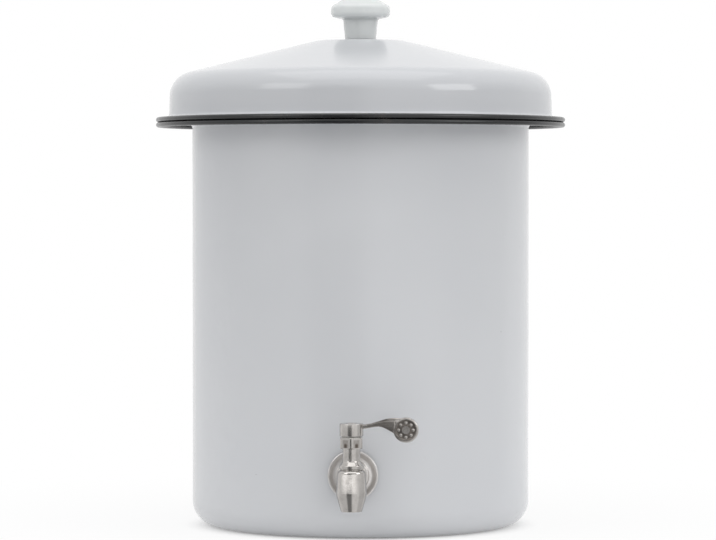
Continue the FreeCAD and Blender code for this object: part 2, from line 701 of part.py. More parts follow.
def notch_outline():
    """A wedge from the valve's axis that leaves the lug room for a quarter turn, from -X to +Y."""
    far = "2 * neck_radius"
    angles = ("180 deg + stop_angle * 1 deg", "135 deg", "180 deg - (turn_angle + stop_angle) * 1 deg")
    return [("0", "0")] + [(f"{far} * cos({a})", f"{far} * sin({a})") for a in angles]


def make_valve_seat():
    """A short sleeve in the inlet whose end follows the rotor."""
    low = "tap_reach - chamber_radius - seat_length"
    sleeve = washer("valve_seat", "inlet_radius - thread_clearance", "seat_bore", low, "tap_reach")
    chamber = doc.addObject("Part::Cylinder", "chamber_clear")
    chamber.Placement = Placement(Vector(0, 0, 0), Rotation(Vector(1, 0, 0), -90))
    bind(chamber, "Radius", "chamber_radius")
    bind(chamber, "Height", "4 * inlet_radius")
    bind(chamber, "Placement.Base.y", "-2 * inlet_radius")
    bind(chamber, "Placement.Base.z", "tap_reach")
    keep(at_wall(joined("Cut", "valve_seat_end", sleeve, chamber)), "valve_inlet_seat")


# Rotor and what turns with it, in the frame of the valve

def make_rotor():
    body = at_valve(new_body("valve_rotor"))
    outline = [
        ("rotor_bore", ROTOR_BOTTOM),
        (ROTOR_RADIUS, ROTOR_BOTTOM),
    ]
    for k in range(STEM_RINGS):
        middle = f"(first_ring_height + {k} * ring_spacing)"
        low = f"{middle} - ring_groove_width / 2"
        high = f"{middle} + ring_groove_width / 2"
        floor = f"{ROTOR_RADIUS} - ring_groove_depth"
        outline += [(ROTOR_RADIUS, low), (floor, low), (floor, high), (ROTOR_RADIUS, high)]
    outline += [
        (ROTOR_RADIUS, SHOULDER_TOP),
        ("stem_radius", SHOULDER_TOP),
        ("stem_radius", f"{HUB_BOTTOM} - slip_gap"),
        ("0", f"{HUB_BOTTOM} - slip_gap"),
        ("0", "rotor_bore_top + rotor_bore / 2"),
        ("rotor_bore", "rotor_bore_top"),
    ]
    turned(body, "rotor", outline)
    lug = new_sketch(body, "stop_lug_outline", "XY", f"{SHOULDER_TOP} - lug_height")
    add_outline(lug, [
        (f"-{ROTOR_RADIUS} - lug_reach", "-lug_half_width"),
        ("-stem_radius", "-lug_half_width"),
        ("-stem_radius", "lug_half_width"),
        (f"-{ROTOR_RADIUS} - lug_reach", "lug_half_width"),
    ])
    extruded(body, "stop_lug", lug, "lug_height")
    square = new_sketch(body, "square_outline", "XY", f"{SHOULDER_TOP} + gland_roof")
    add_rectangle(square, "stem_square / 2", "stem_square / 2")
    extruded(body, "stem_square_end", square, f"stem_top - {SHOULDER_TOP} - gland_roof")
    window = new_sketch(body, "window_outline", "YZ")
    add_circle(window, "0", "0", "window_radius")
    extruded(body, "window", window, "chamber_radius + overcut", cut=True)
    tapped = new_sketch(body, "tapped_hole_outline", "XY", "stem_top + overcut")
    add_circle(tapped, "0", "0", "lever_screw_radius + thread_clearance")
    extruded(body, "tapped_hole", tapped, "lever_screw_length + 2 * overcut", cut=True)


def make_stem_rings():
    """Both O-rings, as separate solids of one node."""
    rings = []
    for k in range(STEM_RINGS):
        ring = doc.addObject("Part::Torus", f"stem_ring_{k}")
        bind(ring, "Radius1", "chamber_radius - ring_section - thread_clearance / 2")
        bind(ring, "Radius2", "ring_section")
        bind(ring, "Placement.Base.z", f"first_ring_height + {k} * ring_spacing")
        rings.append(ring)
    group = doc.addObject("Part::Compound", "stem_ring_set")
    group.Links = rings
    keep(at_valve(group), "stem_o_rings")


def make_gland_nut():
    body = at_valve(new_body("tap_gland_nut"))
    low = f"{GLAND_TOP} - gland_height"
    section = new_sketch(body, "hexagon", "XY", low)
    # A corner points at the front, as the two flats on show do
    add_outline(section, [(y, x) for x, y in hexagon("gland_flats")][::-1])
    extruded(body, "nut", section, "gland_height")
    turned(body, "bore", [
        ("0", f"{low} - overcut"),
        ("neck_radius + thread_clearance", f"{low} - overcut"),
        ("neck_radius + thread_clearance", "neck_top + end_clearance"),
        ("stem_radius + rotor_clearance", "neck_top + end_clearance"),
        ("stem_radius + rotor_clearance", f"{GLAND_TOP} + overcut"),
        ("0", f"{GLAND_TOP} + overcut"),
    ], cut=True)
    reach = "gland_flats"
    turned(body, "turned_corners", [
        ("gland_corner_radius - nut_chamfer", low),
        ("gland_corner_radius", f"{low} + nut_chamfer"),
        ("gland_corner_radius", f"{GLAND_TOP} - nut_chamfer"),
        ("gland_corner_radius - nut_chamfer", GLAND_TOP),
        (reach, GLAND_TOP),
        (reach, low),
    ], cut=True)


def make_lever_fixings():
    slip = washer("slip_washer", "slip_washer_radius", "stem_radius + rotor_clearance",
                  GLAND_TOP, f"{GLAND_TOP} + slip_washer_thickness")
    keep(at_valve(slip), "lever_slip_washer")
    under_head = f"{RECESS_FLOOR} + lever_washer_thickness"
    plain = washer("lever_washer", "lever_washer_radius", "lever_screw_radius + hole_clearance",
                   RECESS_FLOOR, under_head)
    keep(at_valve(plain), "lever_screw_washer")
    body = at_valve(new_body("lever_screw"))
    head_top = f"{under_head} + lever_screw_head_height"
    turned(body, "screw", [
        ("0", f"{under_head} - lever_screw_length"),
        ("lever_screw_radius", f"{under_head} - lever_screw_length"),
        ("lever_screw_radius", under_head),
        ("lever_screw_head_radius", under_head),
        ("lever_screw_head_radius", head_top, "cast_edge"),
        ("0", head_top),
    ])
    slot = new_sketch(body, "slot_outline", "XY", head_top)
    add_rectangle(slot, "lever_screw_head_radius + overcut", "slot_width / 2")
    extruded(body, "slot", slot, "slot_depth", cut=True)


def make_lever():
    body = at_valve(new_body("tap_lever"))
    turned(body, "hub", [
        ("0", HUB_BOTTOM),
        ("hub_radius", HUB_BOTTOM, "hub_round"),
        ("hub_radius", HUB_TOP, "hub_round"),
        ("0", HUB_TOP),
    ])
    arm = new_sketch(body, "arm_outline", "XZ")
    add_outline(arm, [
        ("hub_radius / 2", f"{ARM_TOP} - arm_depth"),
        ("paddle_reach - arm_arch_reach", f"{ARM_TOP} - arm_arch_depth", "arm_arch_radius"),
        ("paddle_reach - paddle_dish_radius", f"{PADDLE_Z} - arm_foot"),
        ("paddle_reach", PADDLE_Z),
        ("paddle_reach", PADDLE_TOP),
        ("paddle_reach - arm_crest_reach", PADDLE_TOP, "arm_crest_radius"),
        ("arm_bend_reach", f"{ARM_TOP} + arm_bend_rise", "arm_bend_radius"),
        ("hub_radius / 2", ARM_TOP),
    ])
    extruded(body, "arm", arm, "arm_thickness", symmetric=True)
    disc = new_sketch(body, "paddle_outline", "XZ")
    add_circle(disc, "paddle_reach", PADDLE_Z, "paddle_radius")
    extruded(body, "paddle", disc, "paddle_thickness", symmetric=True)
    for side, name in ((1, "front"), (-1, "back")):
        face = new_sketch(body, f"{name}_dish_outline", "XZ", f"{side} * paddle_thickness / 2")
        add_circle(face, "paddle_reach", PADDLE_Z, "paddle_dish_radius")
        add_circle(face, "paddle_reach", PADDLE_Z, "paddle_boss_radius")
        extruded(body, f"{name}_dish", face, "paddle_dish_depth", cut=True, reverse=side < 0)
        lift = f"{side} * (paddle_thickness / 2 - paddle_dish_depth)"
        dots = new_sketch(body, f"{name}_petals_outline", "XZ", lift)
        for k in range(PETALS):
            angle = f"{360 * k / PETALS} deg"
            add_circle(dots, f"paddle_reach + petal_circle * cos({angle})",
                       f"{PADDLE_Z} + petal_circle * sin({angle})", "petal_radius")
        extruded(body, f"{name}_petals", dots, "petal_height", reverse=side < 0)
    turned(body, "recess", [
        ("0", RECESS_FLOOR),
        ("recess_radius", RECESS_FLOOR),
        ("recess_radius", f"{HUB_TOP} + overcut"),
        ("0", f"{HUB_TOP} + overcut"),
    ], cut=True)
    square = new_sketch(body, "square_hole_outline", "XY", HUB_BOTTOM)
    add_rectangle(square, "stem_square / 2 + rotor_clearance", "stem_square / 2 + rotor_clearance")
    extruded(body, "square_hole", square, "hub_height", cut=True, reverse=True)


# Build, check and write

def check_document():
    """Stops if a feature failed or a piece isn't one closed, valid shape."""
    for thing in doc.Objects:
        if {"Invalid", "Error"} & set(thing.State):
            raise RuntimeError(f"{thing.Name} failed: {thing.State} {thing.getStatusString()}")
    for part in PARTS:
        shape = part.Shape
        if shape.isNull() or not shape.isValid() or shape.Volume <= 0:
            raise RuntimeError(f"{part.Label} has no valid solid")


def write_parts():
    os.makedirs("parts", exist_ok=True)
    for part in PARTS:
        part.Shape.exportStep(f"parts/{part.Label}.step")
        print(f"{part.Label}: {len(part.Shape.Solids)} solid(s), {part.Shape.Volume:.1f} mm3")


make_container_shell()
make_seat_ring()
make_filter_pot()
make_lid_shell()
make_knob()
make_knob_fixings()
make_wall_gaskets()
make_wall_flange()
make_lock_nut()
make_tap_body()
make_valve_seat()
make_rotor()
make_stem_rings()
make_gland_nut()
make_lever_fixings()
make_lever()
doc.recompute()
check_document()
write_parts()
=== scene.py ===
import math

import bmesh
import bpy
from mathutils import Matrix, Vector, noise


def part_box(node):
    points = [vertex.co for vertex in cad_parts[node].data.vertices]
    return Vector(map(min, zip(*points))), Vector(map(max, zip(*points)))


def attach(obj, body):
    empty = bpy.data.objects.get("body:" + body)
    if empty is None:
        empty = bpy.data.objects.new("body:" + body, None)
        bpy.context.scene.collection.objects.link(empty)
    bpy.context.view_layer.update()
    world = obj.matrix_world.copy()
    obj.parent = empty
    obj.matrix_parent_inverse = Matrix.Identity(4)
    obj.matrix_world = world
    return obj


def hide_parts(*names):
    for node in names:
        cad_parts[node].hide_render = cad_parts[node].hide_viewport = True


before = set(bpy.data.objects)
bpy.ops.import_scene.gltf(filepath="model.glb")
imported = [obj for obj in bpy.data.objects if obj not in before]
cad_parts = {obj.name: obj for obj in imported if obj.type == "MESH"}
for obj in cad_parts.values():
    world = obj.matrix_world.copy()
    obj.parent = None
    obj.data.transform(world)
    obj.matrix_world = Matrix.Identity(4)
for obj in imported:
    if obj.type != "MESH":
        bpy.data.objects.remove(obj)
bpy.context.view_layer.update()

# Sizes are in millimetres on the object's own axes, and MM turns them into Blender's metres.
# The object stands on z = 0, its tap is on the -Y side and the closed lever points along +X.
MM = 0.001


def box_mm(node):
    """The lowest and highest corner of a CAD node, in millimetres."""
    low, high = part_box(node)
    return Vector(low) / MM, Vector(high) / MM


# Container and lid
WALL_RADIUS = 145.0
SHEET = 1.2
BASE_CORNER = 21.0
MOUTH_CORNER = 4.0
BEAD = 2.1
RIM_RADIUS = box_mm("container_shell")[1].x
CONTAINER_TOP = box_mm("container_shell")[1].z
LID_SHEET = 1.1
LID_BASE = box_mm("lid_shell")[0].z
LID_TOP = box_mm("lid_shell")[1].z
BRIM_TOP = LID_BASE + 2 * BEAD
LID_SIDE = RIM_RADIUS - 11.0
SHOULDER_RADIUS = LID_SIDE - 1.2
SHOULDER_HEIGHT = LID_BASE + 39.0
LID_FLAT_RADIUS = 37.0
LID_FOOT_ROUND = 2.6
SHOULDER_ROUND = 21.5
CONE_ROUND = 40.0
SCREW_HOLE = 2.9
BLACK_BAND = 3.6
ENAMEL_WAVES = 0.35
# Filter pot
POT_LIP_RADIUS = box_mm("filter_pot")[1].x
POT_BOTTOM = box_mm("filter_pot")[0].z
POT_TOP = box_mm("filter_pot")[1].z
POT_SEAT = POT_TOP - 18.0
POT_RADIUS = WALL_RADIUS - SHEET - 6.0
POT_FOOT_RADIUS = POT_RADIUS - 28.0
POT_WALL = 14.0
POT_FLOOR = 16.0
POT_FOOT_ROUND = 16.0
POT_SEAT_ROUND = 3.0
POT_LIP_ROUND = 6.0
POT_FLOOR_ROUND = 12.0
CLAY_WAVES = 0.8
# Knob
KNOB_BASE = box_mm("lid_knob")[0].z
KNOB_TOP = box_mm("lid_knob")[1].z
KNOB_RADIUS = box_mm("lid_knob")[1].x
KNOB_HOLE = 4.15
KNOB_HOLE_DEPTH = 13.0
KNOB_FOOT_RADIUS = 13.2
KNOB_NECK_RADIUS = 15.0
KNOB_EDGE = 8.9
KNOB_EDGE_ROUND = 3.9
KNOB_CROWN = 6.2
KNOB_CROWN_RADIUS = 15.0
KNOB_CROWN_ROUND = 9.0
# Tap. Heights on the casting, such as BELLY_HEIGHT, start at the barrel's axis, at TAP_HEIGHT.
TAP_HEIGHT = 54.0
VALVE_Y = -(WALL_RADIUS + 31.0)
OUTLET = box_mm("tap_body")[0].z - TAP_HEIGHT
NECK_TOP = box_mm("tap_body")[1].z - TAP_HEIGHT
CHAMBER_RADIUS = 3.6
CHAMBER_FLOOR = -8.5
OUTLET_BORE = 6.5
OUTLET_DEPTH = 14.0
OUTLET_RADIUS = 8.6
BELLY_RADIUS = 12.6
BELLY_HEIGHT = -13.5
BELLY_ROUND = 12.0
SHOULDER_STEP_RADIUS = 11.4
SHOULDER_STEP_HEIGHT = 6.2
SHOULDER_STEP_ROUND = 3.4
WAIST_RADIUS = 8.8
COLLAR_RADIUS = 10.0
NECK_RADIUS = 7.2
SHANK_RADIUS = 8.0
SHANK_CLEARANCE = 0.4
SHANK_END = box_mm("tap_body")[1].y - VALVE_Y
SHANK_BORE = 4.9
SHANK_BORE_START = 8.0
BARREL_RADIUS = 8.8
BARREL_COLLAR_RADIUS = 11.0
BARREL_COLLAR = 2.6
THREAD_LENGTH = 12.0
THREAD_TURNS = 7
THREAD_PITCH = 1.5
THREAD_DEPTH = 0.6
THREAD_HALF = 0.45
FLANGE_RADIUS = box_mm("tap_wall_flange")[1].x
FLANGE_FRONT = box_mm("tap_wall_flange")[0].y - VALVE_Y
FLANGE_BACK = box_mm("tap_wall_flange")[1].y - VALVE_Y
FLANGE_SHEET = 1.4
FLANGE_RIM = 2.8
FLANGE_BEAD = 1.8
FLANGE_DISH_RADIUS = 16.2
FLANGE_BOSS_RADIUS = 13.5
FLANGE_BOSS_TOP_RADIUS = 12.5
GLAND_LOW = box_mm("tap_gland_nut")[0].z
GLAND_HIGH = box_mm("tap_gland_nut")[1].z
GLAND_FLATS = 18.0
GLAND_TURNED_RADIUS = 9.9
GLAND_CHAMFER = 0.8
GLAND_RECESS = 2.9
HUB_LOW = box_mm("lever_slip_washer")[1].z + 0.1
HUB_RADIUS = 9.7
HUB_HIGH = HUB_LOW + 10.4
HUB_ROUND = 0.8
STEM_RADIUS = 3.7
STEM_DEPTH = 4.0
SCREW_RECESS_RADIUS = 4.6
SCREW_RECESS_DEPTH = 3.2
ARM_HALF = 2.35
ARM_POINTS = 40
ARM_SQUARENESS = 7.0
# Along X, where the arm's painted darker reflection fades in past the hub and out again before the
# paddle
ARM_SHADE_STARTS = (10.0, 15.0)
ARM_SHADE_ENDS = (40.0, 34.0)
PADDLE_X = 44.3
PADDLE_RADIUS = 10.3
PADDLE_Z = box_mm("tap_lever")[1].z - PADDLE_RADIUS
PADDLE_HALF = 2.5
PADDLE_FLOOR = PADDLE_HALF - 1.1
PADDLE_DISH = 8.4
PADDLE_BOSS = 3.2
DOTS = 8
DOT_RING = 5.9
DOT_RADIUS = 1.35
DOT_RISE = 0.75

VALVE = Matrix.Translation(Vector((0, VALVE_Y, TAP_HEIGHT)))
# Local Z, the axis of a turned piece, along Y
ALONG_Y = Matrix.Rotation(math.radians(-90), 4, "X")
SHANK = VALVE @ ALONG_Y
PADDLE = Matrix.Translation(Vector((PADDLE_X, VALVE_Y, PADDLE_Z)))
PADDLE = PADDLE @ Matrix.Rotation(math.radians(90), 4, "X")


# Mesh helpers

def finish_mesh(thing, sharp_degrees):
    """Smooth shading with sharp edges kept where faces meet at more than the angle."""
    thing.data.polygons.foreach_set("use_smooth", [True] * len(thing.data.polygons))
    thing.data.set_sharp_from_angle(angle=math.radians(sharp_degrees))


def object_from(name, mesh_builder, sharp_degrees=35):
    mesh = bpy.data.meshes.new(name)
    bmesh.ops.recalc_face_normals(mesh_builder, faces=mesh_builder.faces)
    mesh_builder.to_mesh(mesh)
    mesh_builder.free()
    thing = bpy.data.objects.new(name, mesh)
    bpy.context.scene.collection.objects.link(thing)
    finish_mesh(thing, sharp_degrees)
    return thing


def apply_modifiers(thing, sharp_degrees=35):
    graph = bpy.context.evaluated_depsgraph_get()
    mesh = bpy.data.meshes.new_from_object(thing.evaluated_get(graph))
    thing.modifiers.clear()
    thing.data = mesh
    finish_mesh(thing, sharp_degrees)


def combine(base, tool, operation):
    """Base joined with, cut by or kept within tool, which is used up."""
    change = base.modifiers.new("combine", "BOOLEAN")
    change.operation = operation
    change.solver = "EXACT"
    change.object = tool
    apply_modifiers(base)
    bpy.data.objects.remove(tool)
    return base


def outline(corners, fine=5.0, longest=None):
    """Points along corners given as (x, y) or (x, y, rounding radius), in millimetres.

    Roundings have a point every few degrees, and longest splits the straight stretches."""
    count = len(corners)
    spots = [Vector((c[0], c[1])) for c in corners]
    points = []
    for i, corner in enumerate(corners):
        if len(corner) < 3:
            points.append(spots[i])
            continue
        back = (spots[i - 1] - spots[i]).normalized()
        ahead = (spots[(i + 1) % count] - spots[i]).normalized()
        half = back.angle(ahead) / 2
        start = spots[i] + back * (corner[2] / math.tan(half))
        centre = spots[i] + (back + ahead).normalized() * (corner[2] / math.sin(half))
        turn = (start - centre).angle_signed(
            spots[i] + ahead * (corner[2] / math.tan(half)) - centre
        )
        steps = max(3, math.ceil(abs(math.degrees(turn)) / fine))
        for k in range(steps + 1):
            spin = Matrix.Rotation(-turn * k / steps, 2)
            points.append(centre + spin @ (start - centre))
    if longest is None:
        return points
    spread = []
    for a, b in zip(points, points[1:] + points[:1]):
        pieces = max(1, math.ceil((b - a).length / longest))
        spread += [a.lerp(b, k / pieces) for k in range(pieces)]
    return spread


def lathe(name, points, segments=128, place=None, shape=None, sharp_degrees=35):
    """A closed body of revolution about local Z. Points are (radius, height) in millimetres.

    The shape function may move each local point, and place turns it into the object's frame."""
    place = place or Matrix.Identity(4)
    shape = shape or (lambda point: point)
    work = bmesh.new()
    rings = []
    for radius, height in points:
        ring = []
        for k in range(1 if radius < 1e-6 else segments):
            angle = 2 * math.pi * k / segments
            local = Vector((radius * math.cos(angle), radius * math.sin(angle), height))
            ring.append(work.verts.new(place @ shape(local) * MM))
        rings.append(ring)
    for a, b in zip(rings, rings[1:] + rings[:1]):
        for k in range(segments):
            j = (k + 1) % segments
            corners = [a[k % len(a)], a[j % len(a)], b[j % len(b)], b[k % len(b)]]
            kept = [v for i, v in enumerate(corners) if v not in corners[:i]]
            if len(kept) >= 3:
                work.faces.new(kept)
    return object_from(name, work, sharp_degrees)


def inward_wobble(depth, size, seed):
    """A shape function that pulls the surface towards the axis by up to depth, in soft patches."""
    offset = Vector((seed * 13.7, seed * 5.1, seed * 9.3))

    def shape(point):
        amount = 0.5 + 0.5 * noise.noise(point / size + offset)
        flat = Vector((point.x, point.y, 0))
        return point - flat.normalized() * depth * min(max(amount, 0.0), 1.0)
    return shape


# Materials

def step(tree, kind, operation, first, second=None):
    """A Math or VectorMath node whose inputs are sockets or numbers."""
    made = tree.nodes.new("ShaderNode" + kind)
    made.operation = operation
    for socket, amount in zip(made.inputs, (first, second)):
        if isinstance(amount, bpy.types.NodeSocket):
            tree.links.new(amount, socket)
        elif amount is not None:
            socket.default_value = amount
    return made.outputs["Value" if operation == "DOT_PRODUCT" or kind == "Math" else "Vector"]


class Look:
    """A material with the helpers that wire its nodes."""

    def __init__(self, name, **sockets):
        self.material = bpy.data.materials.new(name)
        self.material.use_nodes = True
        self.tree = self.material.node_tree
        self.shader = self.tree.nodes["Principled BSDF"]
        self.place = self.tree.nodes.new("ShaderNodeTexCoord").outputs["Object"]
        for socket, amount in sockets.items():
            self.put(self.shader, socket.replace("_", " "), amount)

    def put(self, node, socket, amount):
        if isinstance(amount, bpy.types.NodeSocket):
            self.tree.links.new(amount, node.inputs[socket])
        else:
            node.inputs[socket].default_value = amount

    def stretched(self, stretch):
        mapping = self.tree.nodes.new("ShaderNodeMapping")
        self.put(mapping, "Vector", self.place)
        self.put(mapping, "Scale", stretch)
        return mapping.outputs["Vector"]

    def noise(self, size_mm, detail=3.0, roughness=0.5, stretch=None):
        """Noise between 0 and 1 whose patches are about size_mm across."""
        texture = self.tree.nodes.new("ShaderNodeTexNoise")
        self.put(texture, "Vector", self.stretched(stretch) if stretch else self.place)
        self.put(texture, "Scale", 1.0 / (size_mm * MM))
        self.put(texture, "Detail", detail)
        self.put(texture, "Roughness", roughness)
        return texture.outputs["Fac"]

    def specks(self, size_mm, width):
        """Small round spots: 1 in the middle of each and 0 between them."""
        texture = self.tree.nodes.new("ShaderNodeTexVoronoi")
        self.put(texture, "Vector", self.place)
        self.put(texture, "Scale", 1.0 / (size_mm * MM))
        return self.between(texture.outputs["Distance"], width, width * 0.5)

    def between(self, amount, low, high):
        """Spreads low..high over 0..1, and stays within it."""
        spread = self.tree.nodes.new("ShaderNodeMapRange")
        self.put(spread, "Value", amount)
        self.put(spread, "From Min", low)
        self.put(spread, "From Max", high)
        return spread.outputs["Result"]

    def between_mm(self, amount, low, high):
        """Spreads low..high, in millimetres, over 0..1, and stays within it."""
        return self.between(amount, low * MM, high * MM)

    def scaled(self, amount, low, high):
        """Spreads 0..1 over low..high."""
        spread = self.tree.nodes.new("ShaderNodeMapRange")
        self.put(spread, "Value", amount)
        self.put(spread, "To Min", low)
        self.put(spread, "To Max", high)
        return spread.outputs["Result"]

    def sums(self, operation, first, second=0.0):
        return step(self.tree, "Math", operation, first, second)

    def product(self, first, *others):
        for other in others:
            first = self.sums("MULTIPLY", first, other)
        return first

    def mixed(self, amount, first, second):
        mix = self.tree.nodes.new("ShaderNodeMix")
        mix.data_type = "RGBA"
        self.put(mix, 0, amount)
        self.put(mix, 6, first)
        self.put(mix, 7, second)
        return mix.outputs[2]

    def coordinates(self):
        """X, Y and Z on the object's own axes, in metres."""
        parts = self.tree.nodes.new("ShaderNodeSeparateXYZ")
        self.put(parts, "Vector", self.place)
        return parts.outputs["X"], parts.outputs["Y"], parts.outputs["Z"]

    def distance(self, first, second):
        """Straight distance from two distances that are square to each other."""
        squares = [self.product(part, part) for part in (first, second)]
        return self.sums("SQRT", self.sums("ADD", *squares))

    def axis_distance(self):
        """Distance from the object's upright axis, in millimetres."""
        x, y, _ = self.coordinates()
        return self.sums("DIVIDE", self.distance(x, y), MM)

    def bump(self, *layers):
        """Adds bumps given as (height output, depth in millimetres)."""
        normal = None
        for height, depth in layers:
            layer = self.tree.nodes.new("ShaderNodeBump")
            self.put(layer, "Height", height)
            self.put(layer, "Distance", depth * MM)
            self.put(layer, "Strength", 1.0)
            if normal is not None:
                self.put(layer, "Normal", normal)
            normal = layer.outputs["Normal"]
        self.put(self.shader, "Normal", normal)


WHITE = (0.660, 0.668, 0.682, 1)
WHITE_THIN = (0.625, 0.636, 0.658, 1)
LID_WHITE = (0.615, 0.624, 0.640, 1)
LID_WHITE_THIN = (0.580, 0.592, 0.614, 1)
BLACK = (0.008, 0.009, 0.010, 1)
BLACK_BROWNED = (0.030, 0.026, 0.024, 1)
DUST = (0.16, 0.15, 0.15, 1)
# Painted shade, mixed into the chrome of the gland nut and the lever
SHADE_BROWN = (0.115, 0.095, 0.080, 1)
CHROME = (0.49, 0.47, 0.45, 1)
CHROME_STAINED = (0.39, 0.37, 0.35, 1)
CHROME_DULL = (0.68, 0.66, 0.645, 1)
CHROME_DULL_STAINED = (0.58, 0.56, 0.545, 1)
CHROME_GLOSS = 0.09
CHROME_SCRATCHES = (0.5, 0.004)
CLAY = (0.52, 0.235, 0.125, 1)
CLAY_PALE = (0.60, 0.315, 0.185, 1)
GROG = (0.72, 0.50, 0.36, 1)
SOOT = (0.13, 0.07, 0.05, 1)
ENAMEL_IOR = 1.52


def enamel_look(name, band_edge, thick, thin):
    """White vitreous enamel that runs into a hand-brushed black band from band_edge outwards."""
    look = Look(name, IOR=ENAMEL_IOR)
    patches = look.noise(90, detail=2)
    white = look.mixed(patches, thick, thin)
    white = look.mixed(look.specks(24, 0.02), white, DUST)
    ragged = look.scaled(look.noise(7, detail=3), -0.9, 0.9)
    reach = look.sums("ADD", look.axis_distance(), ragged)
    band = look.between(reach, band_edge - 0.35, band_edge + 0.35)
    look.put(look.shader, "Base Color", look.mixed(band, white, BLACK))
    look.put(look.shader, "Roughness", look.scaled(look.noise(30, detail=4), 0.10, 0.19))
    look.bump(
        (look.noise(120, detail=1), 1.1),
        (look.noise(26, detail=1), 0.10),
        (look.noise(2.4, detail=2), 0.012),
        (look.specks(31, 0.05), -0.06),
    )
    return look.material


def black_enamel_look():
    look = Look("black_enamel", IOR=ENAMEL_IOR)
    brown = look.between(look.noise(14, detail=4), 0.60, 0.78)
    look.put(look.shader, "Base Color", look.mixed(brown, BLACK, BLACK_BROWNED))
    look.put(look.shader, "Roughness", look.scaled(look.noise(9, detail=4), 0.16, 0.34))
    look.bump((look.noise(20, detail=1), 0.10), (look.noise(2.2, detail=2), 0.02))
    return look.material


def plastic_look(name, bright, dim, gloss, grain=0.006, depth_mm=0.0):
    """Moulded plastic, into which light reaches for about depth_mm."""
    look = Look(name, IOR=1.49, Subsurface_Weight=1.0 if depth_mm else 0.0)
    look.put(look.shader, "Subsurface Radius", (1.0, 1.0, 1.0))
    look.put(look.shader, "Subsurface Scale", depth_mm * MM)
    look.put(look.shader, "Base Color", look.mixed(look.noise(18, detail=3), bright, dim))
    look.put(look.shader, "Roughness", look.scaled(look.noise(6, detail=4), gloss, gloss + 0.10))
    look.bump((look.noise(16, detail=1), 0.08), (look.noise(0.9, detail=2), grain))
    return look.material


def metal_look(name, colour, tarnish, gloss, scratches, stretch=None, painted_shade=None):
    """Plated or bare metal: faint stains, fine scratches and a roughness that varies.

    Scratches are given as (size, depth) in millimetres. The last argument, a function, gives
    where shade is painted in as a dark brown tint, from 0 to 1."""
    look = Look(name, Metallic=1.0)
    stain = look.between(look.noise(7, detail=5, roughness=0.6), 0.45, 0.80)
    tint = look.mixed(stain, colour, tarnish)
    # Painted shade: a dark brown tint mixed in where the function gives it
    if painted_shade:
        tint = look.mixed(painted_shade(look), tint, SHADE_BROWN)
    look.put(look.shader, "Base Color", tint)
    rough = look.scaled(look.noise(3.5, detail=5, roughness=0.65), gloss, gloss + 0.12)
    look.put(look.shader, "Roughness", rough)
    size, depth = scratches
    look.bump((look.noise(9, detail=1), 0.05), (look.noise(size, detail=3, stretch=stretch), depth))
    return look.material


def lever_painted_shade(look):
    """Painted shade in the sunk faces of the lever's paddle, and a painted dark reflection on its
    arm.

    The painted shade is thinner where the pattern stands proud."""
    x, y, z = look.coordinates()
    across = look.sums("SUBTRACT", x, PADDLE_X * MM)
    up = look.sums("SUBTRACT", z, PADDLE_Z * MM)
    depth = look.sums("ABSOLUTE", look.sums("SUBTRACT", y, VALVE_Y * MM))
    # Painted shade in the sunk faces round the boss
    inside = look.between_mm(look.distance(across, up), PADDLE_DISH + 0.1, PADDLE_DISH - 0.4)
    sunk = look.between_mm(depth, PADDLE_FLOOR + DOT_RISE, PADDLE_FLOOR + 0.1)
    patchy = look.scaled(look.noise(2.5, detail=4), 0.55, 0.95)
    recess_shade = look.product(inside, sunk, patchy)
    # Painted darker reflection along the arm, between the hub and the paddle
    past_hub = look.between_mm(x, *ARM_SHADE_STARTS)
    before_paddle = look.between_mm(x, *ARM_SHADE_ENDS)
    patchy = look.scaled(look.noise(4, detail=4), 0.25, 0.60)
    return look.sums("MAXIMUM", recess_shade, look.product(past_hub, before_paddle, patchy))


def nut_painted_shade(look):
    """Painted shade on the gland nut's flats, darkest low in their middle. Corners and chamfers stay
    bright.
    """
    x, y, z = look.coordinates()
    from_axis = look.distance(x, look.sums("SUBTRACT", y, VALVE_Y * MM))
    half = GLAND_FLATS / 2
    # Painted shade on each flat, in patches, darkest low in its middle
    flat = look.between_mm(from_axis, half + 0.6, half + 0.2)
    patchy = look.scaled(look.noise(3, detail=4), 0.25, 0.60)
    core = look.between_mm(from_axis, half + 0.25, half + 0.03)
    bottom = look.between_mm(z, GLAND_LOW + 6.0, GLAND_LOW + 3.5)
    amount = look.sums("MAXIMUM", look.product(flat, patchy), look.product(core, bottom))
    low = look.between_mm(z, GLAND_LOW + 0.6, GLAND_LOW + 1.4)
    high = look.between_mm(z, GLAND_HIGH - 1.6, GLAND_HIGH - 2.4)
    return look.product(low, high, amount)


def clay_look():
    """Fired clay with grog, fire clouds and a fine open grain."""
    look = Look("fired_clay", IOR=1.45, Roughness=0.9)
    cloud = look.between(look.noise(70, detail=4), 0.35, 0.70)
    colour = look.mixed(cloud, CLAY, CLAY_PALE)
    grog = look.specks(3.2, 0.16)
    colour = look.mixed(look.product(grog, 0.5), colour, GROG)
    soot = look.specks(7.5, 0.07)
    colour = look.mixed(look.product(soot, 0.7), colour, SOOT)
    look.put(look.shader, "Base Color", colour)
    look.put(look.shader, "Roughness", look.scaled(look.noise(5, detail=4), 0.80, 0.96))
    smear = look.noise(9, detail=3, stretch=(0.15, 0.15, 1.0))
    look.bump((smear, 0.5), (look.noise(1.6, detail=4, roughness=0.7), 0.35), (grog, 0.08))
    return look.material


def rubber_look(name, colour, dust):
    look = Look(name, IOR=1.45)
    look.put(look.shader, "Base Color", look.mixed(look.noise(6, detail=5), colour, dust))
    look.put(look.shader, "Roughness", look.scaled(look.noise(2, detail=4), 0.45, 0.70))
    look.bump((look.noise(0.8, detail=3), 0.03))
    return look.material


